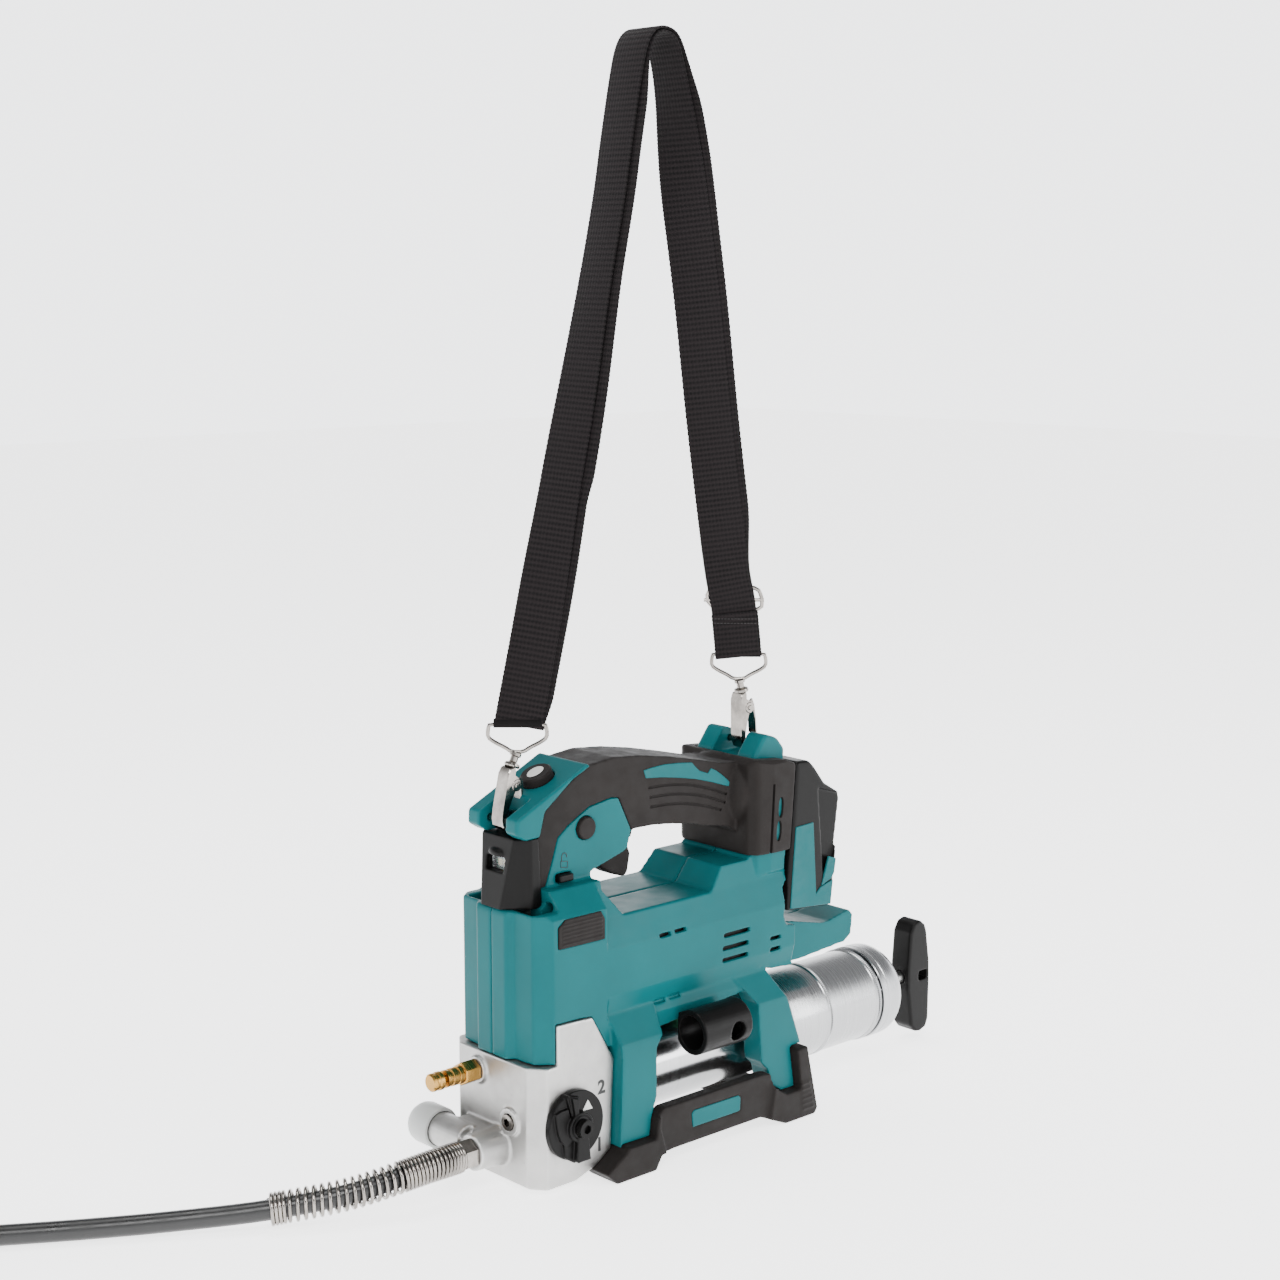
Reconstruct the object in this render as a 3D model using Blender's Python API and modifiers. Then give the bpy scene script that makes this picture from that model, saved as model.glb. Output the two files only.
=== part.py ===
"""A cordless grease gun with a D-shaped handle, a cartridge barrel, a hose and a shoulder strap.

Design frame, in millimetres: X runs from the nose to the T-handle, Y across the tool, Z up from the feet.
The finished parts are moved so that the frame's origin is below the middle of the tool, on the floor.
"""

import math

import bmesh
import bpy
from mathutils import Matrix, Vector

MM = 0.001
ORIGIN = Vector((179.45, -7.35, 0.0))

# Driving dimensions
GAP = 0.3
SEAM = 0.15
SIDE = 40.8
WALL = 2.6
DECK_Z = 160.0
CAVITY_REAR = 214.4
SPLIT_FOOT = (217.7, 156.2)
SPLIT_LEAN = 0.0796
MOTOR_Z = 134.0
CRANK_Z = 109.0
PINION_TEETH = 8
GEAR_TEETH = 28
BARREL_Z = 48.3
BARREL_R = 29.5
CAP_X = 320.0
CAP_R = 32.2
BLOCK_SIDE = 42.4
BLOCK_TOP = 80.2
HANDLE_HALF = 20.0
COLUMN_HALF = 38.0
LEG_SIDE = 50.0
FOOT_SIDE = 56.0
BATTERY_HALF = 37.5
BATTERY_GAP = 0.4
DIAL = (26.7, 42.1)
DIAL_R = 21.4
HOSE_R = 6.0
HOSE_EXIT = (-30.3, -5.0, 25.0)
GUARD_R = 9.8
COIL_CENTRE = (-386.9, 102.3)
COIL_TURNS_R = (66.0, 78.0)
STRAP_WIDTH = 30.0
STRAP_THICK = 3.2
STRAP_ACROSS = Vector((0.7377, -0.6751, 0.0))

COLOURS = {
    "teal": ((0.012, 0.30, 0.33), 0.42, 0.0),
    "rubber": ((0.045, 0.040, 0.038), 0.75, 0.0),
    "black": ((0.020, 0.019, 0.019), 0.45, 0.0),
    "aluminium": ((0.52, 0.52, 0.51), 0.38, 1.0),
    "zinc": ((0.66, 0.67, 0.68), 0.22, 1.0),
    "steel": ((0.55, 0.54, 0.52), 0.25, 1.0),
    "brass": ((0.78, 0.52, 0.20), 0.28, 1.0),
    "copper": ((0.72, 0.33, 0.16), 0.35, 1.0),
    "white": ((0.85, 0.85, 0.83), 0.40, 0.0),
    "webbing": ((0.018, 0.014, 0.015), 0.90, 0.0),
    "hose": ((0.012, 0.012, 0.012), 0.35, 0.0),
    "board": ((0.02, 0.16, 0.07), 0.50, 0.0),
}


# ---------------------------------------------------------------- tools

def clear_scene():
    for obj in list(bpy.data.objects):
        bpy.data.objects.remove(obj, do_unlink=True)


def new_collection(name, helper=False):
    collection = bpy.data.collections.new(name)
    bpy.context.scene.collection.children.link(collection)
    collection.hide_render = helper
    return collection


def material(name):
    found = bpy.data.materials.get(name)
    if found:
        return found
    colour, roughness, metallic = COLOURS[name]
    made = bpy.data.materials.new(name)
    made.use_nodes = True
    shader = made.node_tree.nodes["Principled BSDF"]
    shader.inputs["Base Color"].default_value = (*colour, 1.0)
    shader.inputs["Roughness"].default_value = roughness
    shader.inputs["Metallic"].default_value = metallic
    return made


def put(name, mesh, matrix=None):
    """A new object, in metres, from a mesh drawn in millimetres."""
    mesh.transform(Matrix.Scale(MM, 4) @ (matrix or Matrix()))
    obj = bpy.data.objects.new(name, mesh)
    PARTS.objects.link(obj)
    return obj


def from_bmesh(name, bm, matrix=None):
    mesh = bpy.data.meshes.new(name)
    bm.to_mesh(mesh)
    bm.free()
    return put(name, mesh, matrix)


def box(name, low, high):
    bm = bmesh.new()
    bmesh.ops.create_cube(bm, size=1.0)
    size = [b - a for a, b in zip(low, high)]
    middle = [(a + b) / 2 for a, b in zip(low, high)]
    return from_bmesh(name, bm, Matrix.Translation(middle) @ Matrix.Diagonal((*size, 1.0)))


def rod(name, start, end, radius, sides=32, end_radius=None):
    """A cylinder or cone between two points."""
    start, end = Vector(start), Vector(end)
    bm = bmesh.new()
    bmesh.ops.create_cone(
        bm,
        cap_ends=True,
        segments=sides,
        radius1=radius,
        radius2=radius if end_radius is None else end_radius,
        depth=(end - start).length,
    )
    turn = (end - start).to_track_quat("Z", "Y").to_matrix().to_4x4()
    return from_bmesh(name, bm, Matrix.Translation((start + end) / 2) @ turn)


def mesh_of(obj):
    """The object's evaluated mesh as an object of its own, which takes the old one's place."""
    name, matrix = obj.name, obj.matrix_world.copy()
    bpy.context.view_layer.update()
    mesh = bpy.data.meshes.new_from_object(obj.evaluated_get(bpy.context.evaluated_depsgraph_get()))
    bpy.data.objects.remove(obj, do_unlink=True)
    bm = bmesh.new()
    bm.from_mesh(mesh)
    bmesh.ops.remove_doubles(bm, verts=bm.verts, dist=0.002)
    bmesh.ops.recalc_face_normals(bm, faces=bm.faces)
    bm.to_mesh(mesh)
    bm.free()
    return put(name, mesh, matrix)


PLANES = {
    "XZ": Matrix(((1, 0, 0, 0), (0, 0, -1, 0), (0, 1, 0, 0), (0, 0, 0, 1))),
    "XY": Matrix(),
    "YZ": Matrix(((0, 0, 1, 0), (1, 0, 0, 0), (0, 1, 0, 0), (0, 0, 0, 1))),
}
SIGN = {"XZ": -1, "XY": 1, "YZ": 1}


def slab(name, outline, low, high, plane="XZ", hole=None):
    """A flat outline drawn in one plane, filled between two heights along the plane's own axis."""
    curve = bpy.data.curves.new(name, "CURVE")
    curve.dimensions = "2D"
    curve.fill_mode = "BOTH"
    curve.extrude = (high - low) / 2
    for points in [outline] + ([hole] if hole else []):
        spline = curve.splines.new("POLY")
        spline.points.add(len(points) - 1)
        for point, (u, v) in zip(spline.points, points):
            point.co = (u, v, 0.0, 1.0)
        spline.use_cyclic_u = True
    obj = bpy.data.objects.new(name, curve)
    PARTS.objects.link(obj)
    obj.matrix_world = PLANES[plane] @ Matrix.Translation((0, 0, SIGN[plane] * (low + high) / 2))
    return mesh_of(obj)


def turned(name, profile, base, axis, steps=40):
    """A profile of (radius, height) pairs turned about an axis through base."""
    bm = bmesh.new()
    verts = [bm.verts.new((radius, 0.0, height)) for radius, height in profile]
    for a, b in zip(verts, verts[1:]):
        bm.edges.new((a, b))
    mesh = bpy.data.meshes.new(name)
    bm.to_mesh(mesh)
    bm.free()
    obj = bpy.data.objects.new(name, mesh)
    PARTS.objects.link(obj)
    screw = obj.modifiers.new("Screw", "SCREW")
    screw.steps = screw.render_steps = steps
    screw.use_merge_vertices = True
    screw.merge_threshold = 0.0001
    turn = Vector(axis).to_track_quat("Z", "Y").to_matrix().to_4x4()
    obj.matrix_world = Matrix.Translation(base) @ turn
    return mesh_of(obj)


def tube(name, points, radius, cyclic=False, resolution=2):
    """A round bar bent along points."""
    curve = bpy.data.curves.new(name, "CURVE")
    curve.dimensions = "3D"
    curve.bevel_depth = radius
    curve.bevel_resolution = resolution
    curve.use_fill_caps = not cyclic
    spline = curve.splines.new("POLY")
    spline.points.add(len(points) - 1)
    for point, place in zip(spline.points, points):
        point.co = (*place, 1.0)
    spline.use_cyclic_u = cyclic
    obj = bpy.data.objects.new(name, curve)
    PARTS.objects.link(obj)
    return mesh_of(obj)


def ribbon(name, centres, across, width, thick):
    """A flat band lofted along its centre line; across gives the width's direction at each point."""
    bm = bmesh.new()
    rings = []
    for i, centre in enumerate(centres):
        before = centres[max(i - 1, 0)]
        after = centres[min(i + 1, len(centres) - 1)]
        along = (Vector(after) - Vector(before)).normalized()
        side = across[i] - along * across[i].dot(along)
        side.normalize()
        up = side.cross(along)
        corners = [(1, 1), (-1, 1), (-1, -1), (1, -1)]
        rings.append(
            [bm.verts.new(Vector(centre) + side * a * width / 2 + up * b * thick / 2) for a, b in corners]
        )
    for first, second in zip(rings, rings[1:]):
        for j in range(4):
            bm.faces.new((first[j], first[(j + 1) % 4], second[(j + 1) % 4], second[j]))
    bm.faces.new(rings[0][::-1])
    bm.faces.new(rings[-1])
    bmesh.ops.recalc_face_normals(bm, faces=bm.faces)
    return from_bmesh(name, bm)


# Pieces whose cuts meet flush faces, where the exact solver leaves open edges.
FLUSH_CUTS = {
    "left_housing", "nose_cavity", "nose_section", "grip_cover", "pump_block", "front_anchor", "speed_dial",
}


def boolean(obj, others, operation):
    for other in others:
        if other.name not in CUTTERS.objects:
            PARTS.objects.unlink(other)
            CUTTERS.objects.link(other)
            other.hide_render = True
            other.display_type = "WIRE"
        modifier = obj.modifiers.new(operation.title(), "BOOLEAN")
        modifier.operation = operation
        modifier.object = other
        if obj.name in FLUSH_CUTS:
            modifier.solver = "MANIFOLD"
    return obj


def cut(obj, *others):
    return boolean(obj, others, "DIFFERENCE")


def join(obj, *others):
    return boolean(obj, others, "UNION")


def keep(obj, *others):
    return boolean(obj, others, "INTERSECT")


def bevel(obj, width, segments=2, angle=35):
    modifier = obj.modifiers.new("Bevel", "BEVEL")
    modifier.width = width * MM
    modifier.segments = segments
    modifier.limit_method = "ANGLE"
    modifier.angle_limit = math.radians(angle)
    return obj


def mirrored(obj, name):
    """The same piece for the other side of the tool."""
    bpy.context.view_layer.update()
    graph = bpy.context.evaluated_depsgraph_get()
    mesh = bpy.data.meshes.new_from_object(obj.evaluated_get(graph))
    mesh.transform(Matrix.Diagonal((1, -1, 1, 1)))
    mesh.flip_normals()
    other = bpy.data.objects.new(name, mesh)
    PARTS.objects.link(other)
    return other


def inset(outline, distance):
    """The outline with every edge moved inwards."""
    area = sum(a[0] * b[1] - b[0] * a[1] for a, b in zip(outline, outline[1:] + outline[:1]))
    turn = 1 if area > 0 else -1
    moved = []
    count = len(outline)
    for i, point in enumerate(outline):
        before = Vector(outline[i - 1])
        here = Vector(point)
        after = Vector(outline[(i + 1) % count])
        first = (here - before).normalized()
        second = (after - here).normalized()
        normal_a = Vector((-first.y, first.x)) * turn
        normal_b = Vector((-second.y, second.x)) * turn
        middle = (normal_a + normal_b).normalized()
        moved.append(tuple(here + middle * distance / max(middle.dot(normal_a), 0.35)))
    return moved


def smooth_path(route, spacing):
    """Points about one spacing apart on a smooth curve through the route's own points."""
    route = [Vector(p) for p in route]
    route = [2 * route[0] - route[1]] + route + [2 * route[-1] - route[-2]]
    fine = []
    for a, b, c, d in zip(route, route[1:], route[2:], route[3:]):
        for i in range(40):
            t = i / 40
            square = (2 * a - 5 * b + 4 * c - d) * t**2
            cube = (3 * b - a - 3 * c + d) * t**3
            fine.append(0.5 * (2 * b + (c - a) * t + square + cube))
    fine.append(route[-2])
    length = sum((q - p).length for p, q in zip(fine, fine[1:]))
    steps = max(round(length / spacing), 1)
    points, walked, wanted = [fine[0]], 0.0, length / steps
    for p, q in zip(fine, fine[1:]):
        walked += (q - p).length
        if walked >= wanted - 1e-6 and len(points) < steps:
            points.append(q)
            wanted += length / steps
    return points + [fine[-1]]


def finish(obj, colour, pivot=None):
    """Gives a piece its material and smooth shading, and puts its origin on its joint's axis."""
    obj.data.materials.clear()
    obj.data.materials.append(material(colour))
    obj.data.shade_smooth()
    obj.data.set_sharp_from_angle(angle=math.radians(35))
    if pivot:
        shift = Vector(pivot) * MM
        obj.data.transform(Matrix.Translation(-shift))
        obj.location = shift
    return obj


# ---------------------------------------------------------------- outlines, in X and Z

def split(z, ahead=0.0):
    """A point on the leaning face where the battery meets the column."""
    return (SPLIT_FOOT[0] + (z - SPLIT_FOOT[1]) * SPLIT_LEAN - ahead, z)


def body_outline():
    """The lower casing: nose, deck, rear wall and the arm under the battery."""
    return [
        (0, BLOCK_TOP + GAP), (0, 169), (7, 183), (62, 183), (62, 177), (68, 170), (76, DECK_Z),
        (150, DECK_Z),
        (152, 161), (162, 174), (187, 174), (187, 176), split(176), split(156), (213, 152),
        (210.5, 134), (213, 127.5), (230, 124.5), (258, 118), (263, 118), (284, 122), (287.5, 118),
        (286, 105), (279.5, 100.7), (235, 97.5), (200, 100), (192, 104), (180, 92), (70, 82),
    ]


def head_outline():
    """The bare side panel of the head, around the trigger."""
    return [
        (24, 176), (33.1, 201), (36.4, 211.6), (45, 218), (61, 226.5), (79.2, 229.4), (84.9, 228.5),
        (95.3, 206.9),
        (92, 196), (88, 194), (74, 190), (62, 186.7), (62, 176),
    ]


def grip_outline():
    """The outer line of the head and handle, seen from the side."""
    under = [(180, 195.0), (170, 197), (161, 198.3), (148, 201.7), (130, 204.8), (112, 206.8), (97, 207.0)]
    return [
        (6, 178), (10, 214), (13, 224), (24, 232), (40, 241), (59, 252.2), (81, 254.5), (104, 252.4),
        (128, 248.2), (152, 242.8), (173, 237.6), (190, 236),
        (190, 188),
    ] + under + [(95.3, 203), (92, 196), (88, 194), (74, 190), (62, 186.7), (62, 178)]


def column_outline():
    return [(186.3, 176), (186.3, 236), (190, 239), (214, 236.5), split(233), split(176)]


def column_plan():
    half = COLUMN_HALF
    return [
        (186.3, -30), (191, -36), (203, -half), (228, -half),
        (228, half), (203, half), (191, 36), (186.3, 30),
    ]


def front_leg_outline():
    return [
        (57, 110), (61.6, 75), (58.9, 18), (61, 21.5), (83.5, 20.8), (85, 32), (89.5, 45), (89.5, 76),
        (95, 84),
        (98, 110),
    ]


def rear_leg_outline():
    return [
        (160, 110), (178, 84), (180, 60), (181.5, 44), (187.5, 38), (190, 28), (199.5, 21), (212, 20.8),
        (207.5, 49), (217.5, 49.5), (207, 78), (194.5, 104), (190, 110),
    ]


# ---------------------------------------------------------------- casing

def body_solid():
    """The outside of the lower casing on the near side, up to the middle plane."""
    side = slab("left_housing", body_outline(), -SIDE, -SEAM)
    outside = -SIDE - 1
    section = [
        (1, 75), (-46, 75), (-44, 88), (-37.8, 101), (outside, 117), (outside, 139), (-34, DECK_Z),
        (-28, 190), (1, 190),
    ]
    motor_section = slab("motor_section", section, 56.5, 300, "YZ")
    nose_section = slab(
        "nose_section",
        [(2, 76), (outside, 76), (outside, 167), (-28, 183.5), (2, 184)],
        -5, 57.5, "YZ",
    )
    sections = join(nose_section, motor_section)
    keep(side, sections)
    edge = -SIDE - 0.5
    nose_plan = [(-0.5, 5), (-0.5, -13), (4, -17), (5.2, -33), (15.4, edge), (300, edge), (300, 5)]
    keep(side, slab("nose_plan", nose_plan, 60, 200, "XY"))
    arm_side = box("arm_side", (221, -SIDE - 1, 90), (300, -31, 130))
    return cut(side, arm_side)


def legs():
    front = slab("front_leg_solid", front_leg_outline(), -LEG_SIDE, -33.5)
    rear = slab("rear_leg_solid", rear_leg_outline(), -LEG_SIDE, -33.5)
    slope = [(-LEG_SIDE - 1, 82), (-LEG_SIDE - 1, 115), (-36, 115), (-38.2, 101)]
    face = slab("leg_slope", slope, 50, 225, "YZ")
    return cut(front, face), cut(rear, face)


def column_core(inset_by):
    outline = inset(column_outline(), inset_by)
    outline = [(x, z) if z > 180 else (x - (z - 163) * SPLIT_LEAN * (x > 200), 163) for x, z in outline]
    core = slab("column_core", outline, -COLUMN_HALF, COLUMN_HALF)
    plan = slab("column_plan_core", inset(column_plan(), inset_by), 150, 260, "XY")
    return keep(core, plan)


def housing_cavity():
    """What is hollow inside the near half: gearbox and motor, head, handle and column."""
    inside = -SIDE + WALL
    section = [(5, 84), (-33, 84), (-34.5, 101), (inside, 116), (inside, 139), (-32, 156.5), (5, 156.5)]
    motor = slab("motor_cavity", section, 20, CAVITY_REAR, "YZ")
    nose = box("nose_cavity", (7.5, -31, 70), (58, 5, 176))
    head = slab("head_cavity", inset(head_outline(), 5.2), -14.5, 5)
    join(nose, motor, head)
    grip = slab("grip_cavity", inset(grip_outline(), 5.4), -14.0, 5)
    column = box("column_cavity", (191.5, -30, 150), (CAVITY_REAR - 0.5, 5, 228.6))
    return join(nose, grip, column)


def housings():
    left = body_solid()
    front_leg, rear_leg = legs()
    join(left, front_leg, rear_leg)
    head = slab("head_panel", head_outline(), -20.3, -SEAM)
    grip_core = slab("grip_core", inset(grip_outline(), 2.6), -17.4, -SEAM)
    column = column_core(2.6)
    near_half = box("near_half", (150, -60, 160), (260, -SEAM, 260))
    keep(column, near_half)
    join(left, head, grip_core, column)
    cut(left, housing_cavity(), *block_pocket(), *vents(), *housing_pockets())
    right = mirrored(left, "right_housing")
    return finish(left, "teal"), finish(right, "teal")


def block_pocket():
    ear = [(15.8, 60), (15.8, 105.2), (44.2, 104.2), (61.5, 75.2), (59, 10)]
    return [slab("ear_pocket", ear, -60, -37.8)]


def vents():
    slots = []
    for x, z, length in [(156, 131.5, 23), (155, 123.0, 23), (154.5, 115.5, 23)]:
        slots.append((x, z, length, 2.6))
    for x, z in [(100.5, 142.4), (113.5, 142.8), (97.5, 100.2), (110.5, 100.6), (198, 121), (198, 113.5)]:
        slots.append((x, z, 9.5, 2.4))
    made = []
    for i, (x, z, length, height) in enumerate(slots):
        made.append(box(f"vent_{i}", (x, -46, z - height / 2), (x + length, -36.2, z + height / 2)))
    return made


def housing_pockets():
    """Openings for the pieces that the casing carries."""
    pad = slab("pad_pocket", inset(side_pad_outline(), -GAP), -60, -SIDE + 1.5)
    trigger = slab(
        "trigger_pocket",
        [(68, 187), (66, 205), (96, 215), (100, 215), (110, 200), (100, 180), (80, 180)],
        -8.8, 5,
    )
    lock = rod("lock_pocket", (58, -30, 214.4), (58, 5, 214.4), 7.3, 24)
    slider = box("slider_pocket", (34.0, -30, 184.2), (46.2, -10, 189.8))
    lamp = rod("lamp_pocket", (39.0, 0, 241.3), (26.5, 0, 269.4), 12.6, 28)
    inner_lamp = rod("lamp_pocket_inner", (44.5, 0, 229), (38.0, 0, 243.5), 11.0, 28)
    terminals = box("terminal_pocket", (208, -12.5, 149.7), (226, 5, 200.3))
    barrel = rod("barrel_pocket", (50, 0, BARREL_Z), (330, 0, BARREL_Z), CAP_R + 1.2, 40)
    led = slab("led_pocket", [(-10, 171.8), (22.3, 171.8), (20, 215.0), (-10, 215.0)], -40, 5)
    cap = slab("cap_pocket", inset(front_anchor_outline(), -GAP), -40, 5)
    holder = box("holder_pocket", (111.7, -60, 78), (122.3, -44.0, 93))
    return [pad, trigger, lock, slider, lamp, inner_lamp, terminals, barrel, led, cap, holder]


def side_pad_outline():
    return [(18.6, 150.6), (55, 150.3), (55, 163), (52, 168), (24, 168), (18.6, 164)]


def side_pads():
    left = slab("left_side_pad", side_pad_outline(), -SIDE - 0.5, -SIDE + 1.2)
    nose = slab("pad_nose", [(10, -60), (18.2, -60), (18.2, -30), (10, -30)], 140, 175, "XY")
    cut(left, nose)
    right = mirrored(left, "right_side_pad")
    return finish(left, "rubber"), finish(right, "rubber")


def grip_cover():
    """The soft cover moulded over the handle and the column, with the casing showing through it."""
    cover = slab("grip_cover", grip_outline(), -HANDLE_HALF, HANDLE_HALF)
    bevel(cover, 7.0, 3, 30)
    column = slab("column_outer", column_outline(), -COLUMN_HALF, COLUMN_HALF)
    keep(column, slab("column_plan_outer", column_plan(), 150, 260, "XY"))
    bevel(column, 3.5, 2, 25)
    join(cover, column)
    core = slab("grip_core_hole", inset(grip_outline(), 2.6 - GAP), -17.7, 17.7)
    column_hole = column_core(2.6 - GAP)
    column_hole.name = "column_hole"
    front = slab("front_hole", [(-10, 160), (22.6, 160), (20.4, 215.2), (-10, 215.2)], -40, 40)
    below = box("below_hole", (-10, -60, 150), (230, 60, 176.3))
    cap = slab("cap_hole", inset(front_anchor_outline(), -GAP), -40, 40)
    rear = slab("rear_hole", [split(170, 2.6), split(262, 2.6), (240, 262), (240, 170)], -34, 34)
    anchor = box("anchor_hole", (194.7, -27.3, 228), (240, 27.3, 260))
    nose = box("nose_hole", (-10, -60, 150), (62.3, 60, 183.3))
    trigger = slab("trigger_hole", [(60, 170), (60, 205), (110, 215), (112, 196), (100, 180)], -8.8, 8.8)
    head = slab("head_hole", inset(head_outline(), -GAP), -40, 40)
    lamp = rod("cover_lamp_hole", (39.0, 0, 241.3), (26.5, 0, 269.4), 12.6, 28)
    lamp_travel = rod("cover_lamp_travel", (40.0, 0, 239.1), (34.5, 0, 251.4), 10.6, 28)
    cut(cover, core, column_hole, head, front, below, nose, cap, rear, anchor, trigger, lamp, lamp_travel)
    return finish(cover, "rubber")


def base_guard():
    """The soft base: a bar and two feet on each side, tied by a bridge under the barrel."""
    near = slab(
        "base_guard",
        [
            (60, 14), (61, 20.4), (84.2, 20.2), (86, 33), (93, 37.5), (178, 37.5), (186.5, 36.5),
            (189, 26.5),
            (199.2, 20.0), (212.8, 20.0), (209, 47.5), (218.3, 48.2), (228.5, 4), (226, 0), (199, 0),
            (178, 9),
            (100, 9), (89, 8.5), (84, 0), (62, 0), (58, 10),
        ],
        -FOOT_SIDE, -44.5,
    )
    bar_relief = slab(
        "bar_relief",
        [(88, 40), (88, 26), (94, 6), (184, 6), (188, 26), (188, 40)],
        -FOOT_SIDE - 1, -53.5,
    )
    foot = [(52, 0), (43.5, 8.0), (58.6, 17.2), (62, 20), (66, 20), (66, 0)]
    toe = slab("front_toe", foot, -FOOT_SIDE, -30)
    cut(near, bar_relief)
    join(near, toe)
    bridge_front = box("bridge_front", (63, -52, 2), (84, 52, 13.5))
    bridge_rear = box("bridge_rear", (198, -52, 2), (222, 52, 13.5))
    bevel(near, 1.6, 1, 30)
    far = mirrored(near, "far_bar")
    join(near, far, bridge_front, bridge_rear)
    pocket = slab("bar_inlay_pocket", bar_inlay_outline(-0.3), -60, -52.2)
    far_pocket = slab("far_inlay_pocket", bar_inlay_outline(-0.3), 52.2, 60)
    cut(near, pocket, far_pocket)
    return finish(near, "rubber")


def bar_inlay_outline(shrink=0.0):
    outline = [(117, 18.8), (116, 28), (118, 29.6), (157, 29.3), (158.8, 27.5), (158.5, 19.5), (157, 18.8)]
    return inset(outline, shrink)


def bar_inlays():
    left = slab("left_bar_inlay", bar_inlay_outline(), -53.7, -52.5)
    right = mirrored(left, "right_bar_inlay")
    return finish(left, "teal"), finish(right, "teal")


def led_bezel():
    """The lamp housing on the front of the head."""
    bezel = slab("led_bezel", [(0, 172.1), (22, 172.1), (19.7, 214.7), (6.4, 214.7)], -22, 22)
    front = [(0, -9), (14, -22), (40, -22), (40, 22), (14, 22), (0, 9)]
    plan = slab("bezel_plan", front, 160, 220, "XY")
    keep(bezel, plan)
    window = box("lamp_window", (-5, -8.5, 193.5), (11.5, 8.5, 202.5))
    hollow = box("lamp_hollow", (10, -9.5, 180), (30, 9.5, 208))
    cut(bezel, window, hollow)
    return finish(bezel, "black")


def led_lens():
    lens = box("led_lens", (8.6, -8.1, 193.9), (9.9, 8.1, 202.1))
    return finish(lens, "white")


def led_board():
    board = box("led_board", (13.0, -9.0, 184), (14.6, 9.0, 206))
    led = box("led_chip", (11.8, -2.2, 196), (13.5, 2.2, 200))
    join(board, led)
    return finish(board, "board")


def front_anchor_outline():
    return [
        (1.5, 219.5), (8.8, 214.8), (20, 215.2), (24, 230), (47, 247), (60, 252.6), (58, 254.6), (38, 245),
        (2, 228),
    ]


def front_anchor():
    """The cap on the head, with two horns that hold the front strap pin, and a seat for the lamp button."""
    cap = slab("front_anchor", front_anchor_outline(), -23.5, 23.5)
    bevel(cap, 1.5, 2, 30)
    slot = slab("clip_slot", [(-5, 210), (18.5, 210), (19.5, 224), (25, 262), (-5, 262)], -12.5, 12.5)
    inside = [(17, 205), (18, 224), (27, 235.5), (56, 249.6), (60, 240), (40, 205)]
    core = slab("cap_core", inside, -20.8, 20.8)
    seat = rod("lamp_seat", (41, 0, 236.8), (26.5, 0, 269.4), 10.6, 28)
    pin = rod("front_pin_hole", (11.0, -19.5, 223.0), (11.0, 19.5, 223.0), 2.3, 20)
    cut(cap, slot, core, seat, pin)
    return finish(cap, "teal")


def front_anchor_pin():
    pin = rod("front_anchor_pin", (11.0, -19.0, 223.0), (11.0, 19.0, 223.0), 2.0, 20)
    return finish(pin, "steel")


def rear_anchor():
    """The saddle on the column, with two lobes that hold the rear strap pin."""
    outline = [(195, 229.5), (195, 238.5), (206, 252.8), (217.5, 249.0), split(241), split(229.5)]
    saddle = slab("rear_anchor", outline, -27, 27)
    bevel(saddle, 2.5, 2, 30)
    slot = box("rear_slot", (180, -11.5, 235.6), (240, 11.5, 260))
    pin = rod("rear_pin_hole", (212, -17.5, 244.0), (212, 17.5, 244.0), 2.3, 20)
    column = column_core(2.6 - GAP)
    column.name = "saddle_core"
    cut(saddle, slot, pin, column)
    return finish(saddle, "teal")


def rear_anchor_pin():
    return finish(rod("rear_anchor_pin", (212, -17.2, 244.0), (212, 17.2, 244.0), 2.0, 20), "steel")


# ---------------------------------------------------------------- controls

TRIGGER_PIVOT = (72.0, 0.0, 197.0)


def trigger():
    """The trigger hangs from a pin at its front end."""
    lever = slab(
        "trigger",
        [
            (69.5, 194), (70, 200), (76, 203.5), (96, 211), (98, 208), (106.3, 188), (104, 176),
            (101, 173.6),
            (91, 177), (84, 181), (80, 184.5), (77, 187.5),
        ],
        -7.8, 7.8,
    )
    bevel(lever, 2.0, 2, 40)
    pivot_x, _, pivot_z = TRIGGER_PIVOT
    hole = rod("trigger_pin_hole", (pivot_x, -10, pivot_z), (pivot_x, 10, pivot_z), 1.8, 16)
    cut(lever, hole)
    return finish(lever, "black", TRIGGER_PIVOT)


def switch_body():
    body = box("switch_body", (104, -9, 213), (134, 9, 238))
    nose = rod("switch_nose", (105, 0, 220), (99.5, 0, 219), 3.0, 16)
    join(body, nose)
    return finish(body, "black")


def lock_button():
    button = rod("lock_button", (58, -22.3, 214.4), (58, -12.0, 214.4), 6.9, 28)
    bevel(button, 0.8, 2, 40)
    return finish(button, "rubber", (58, -22.3, 214.4))


def lock_slider():
    slider = box("lock_slider", (34.6, -24.0, 184.6), (45.6, -15.5, 189.4))
    bevel(slider, 1.0, 2, 40)
    return finish(slider, "black", (40.1, -19.0, 187.0))


def lamp_button():
    base = (38.9, 0.0, 241.5)
    tip = (34.5, 0.0, 251.4)
    button = rod("lamp_button", base, tip, 10.2, 28)
    bevel(button, 0.8, 2, 40)
    return finish(button, "white", tip)


# ---------------------------------------------------------------- pump

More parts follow.
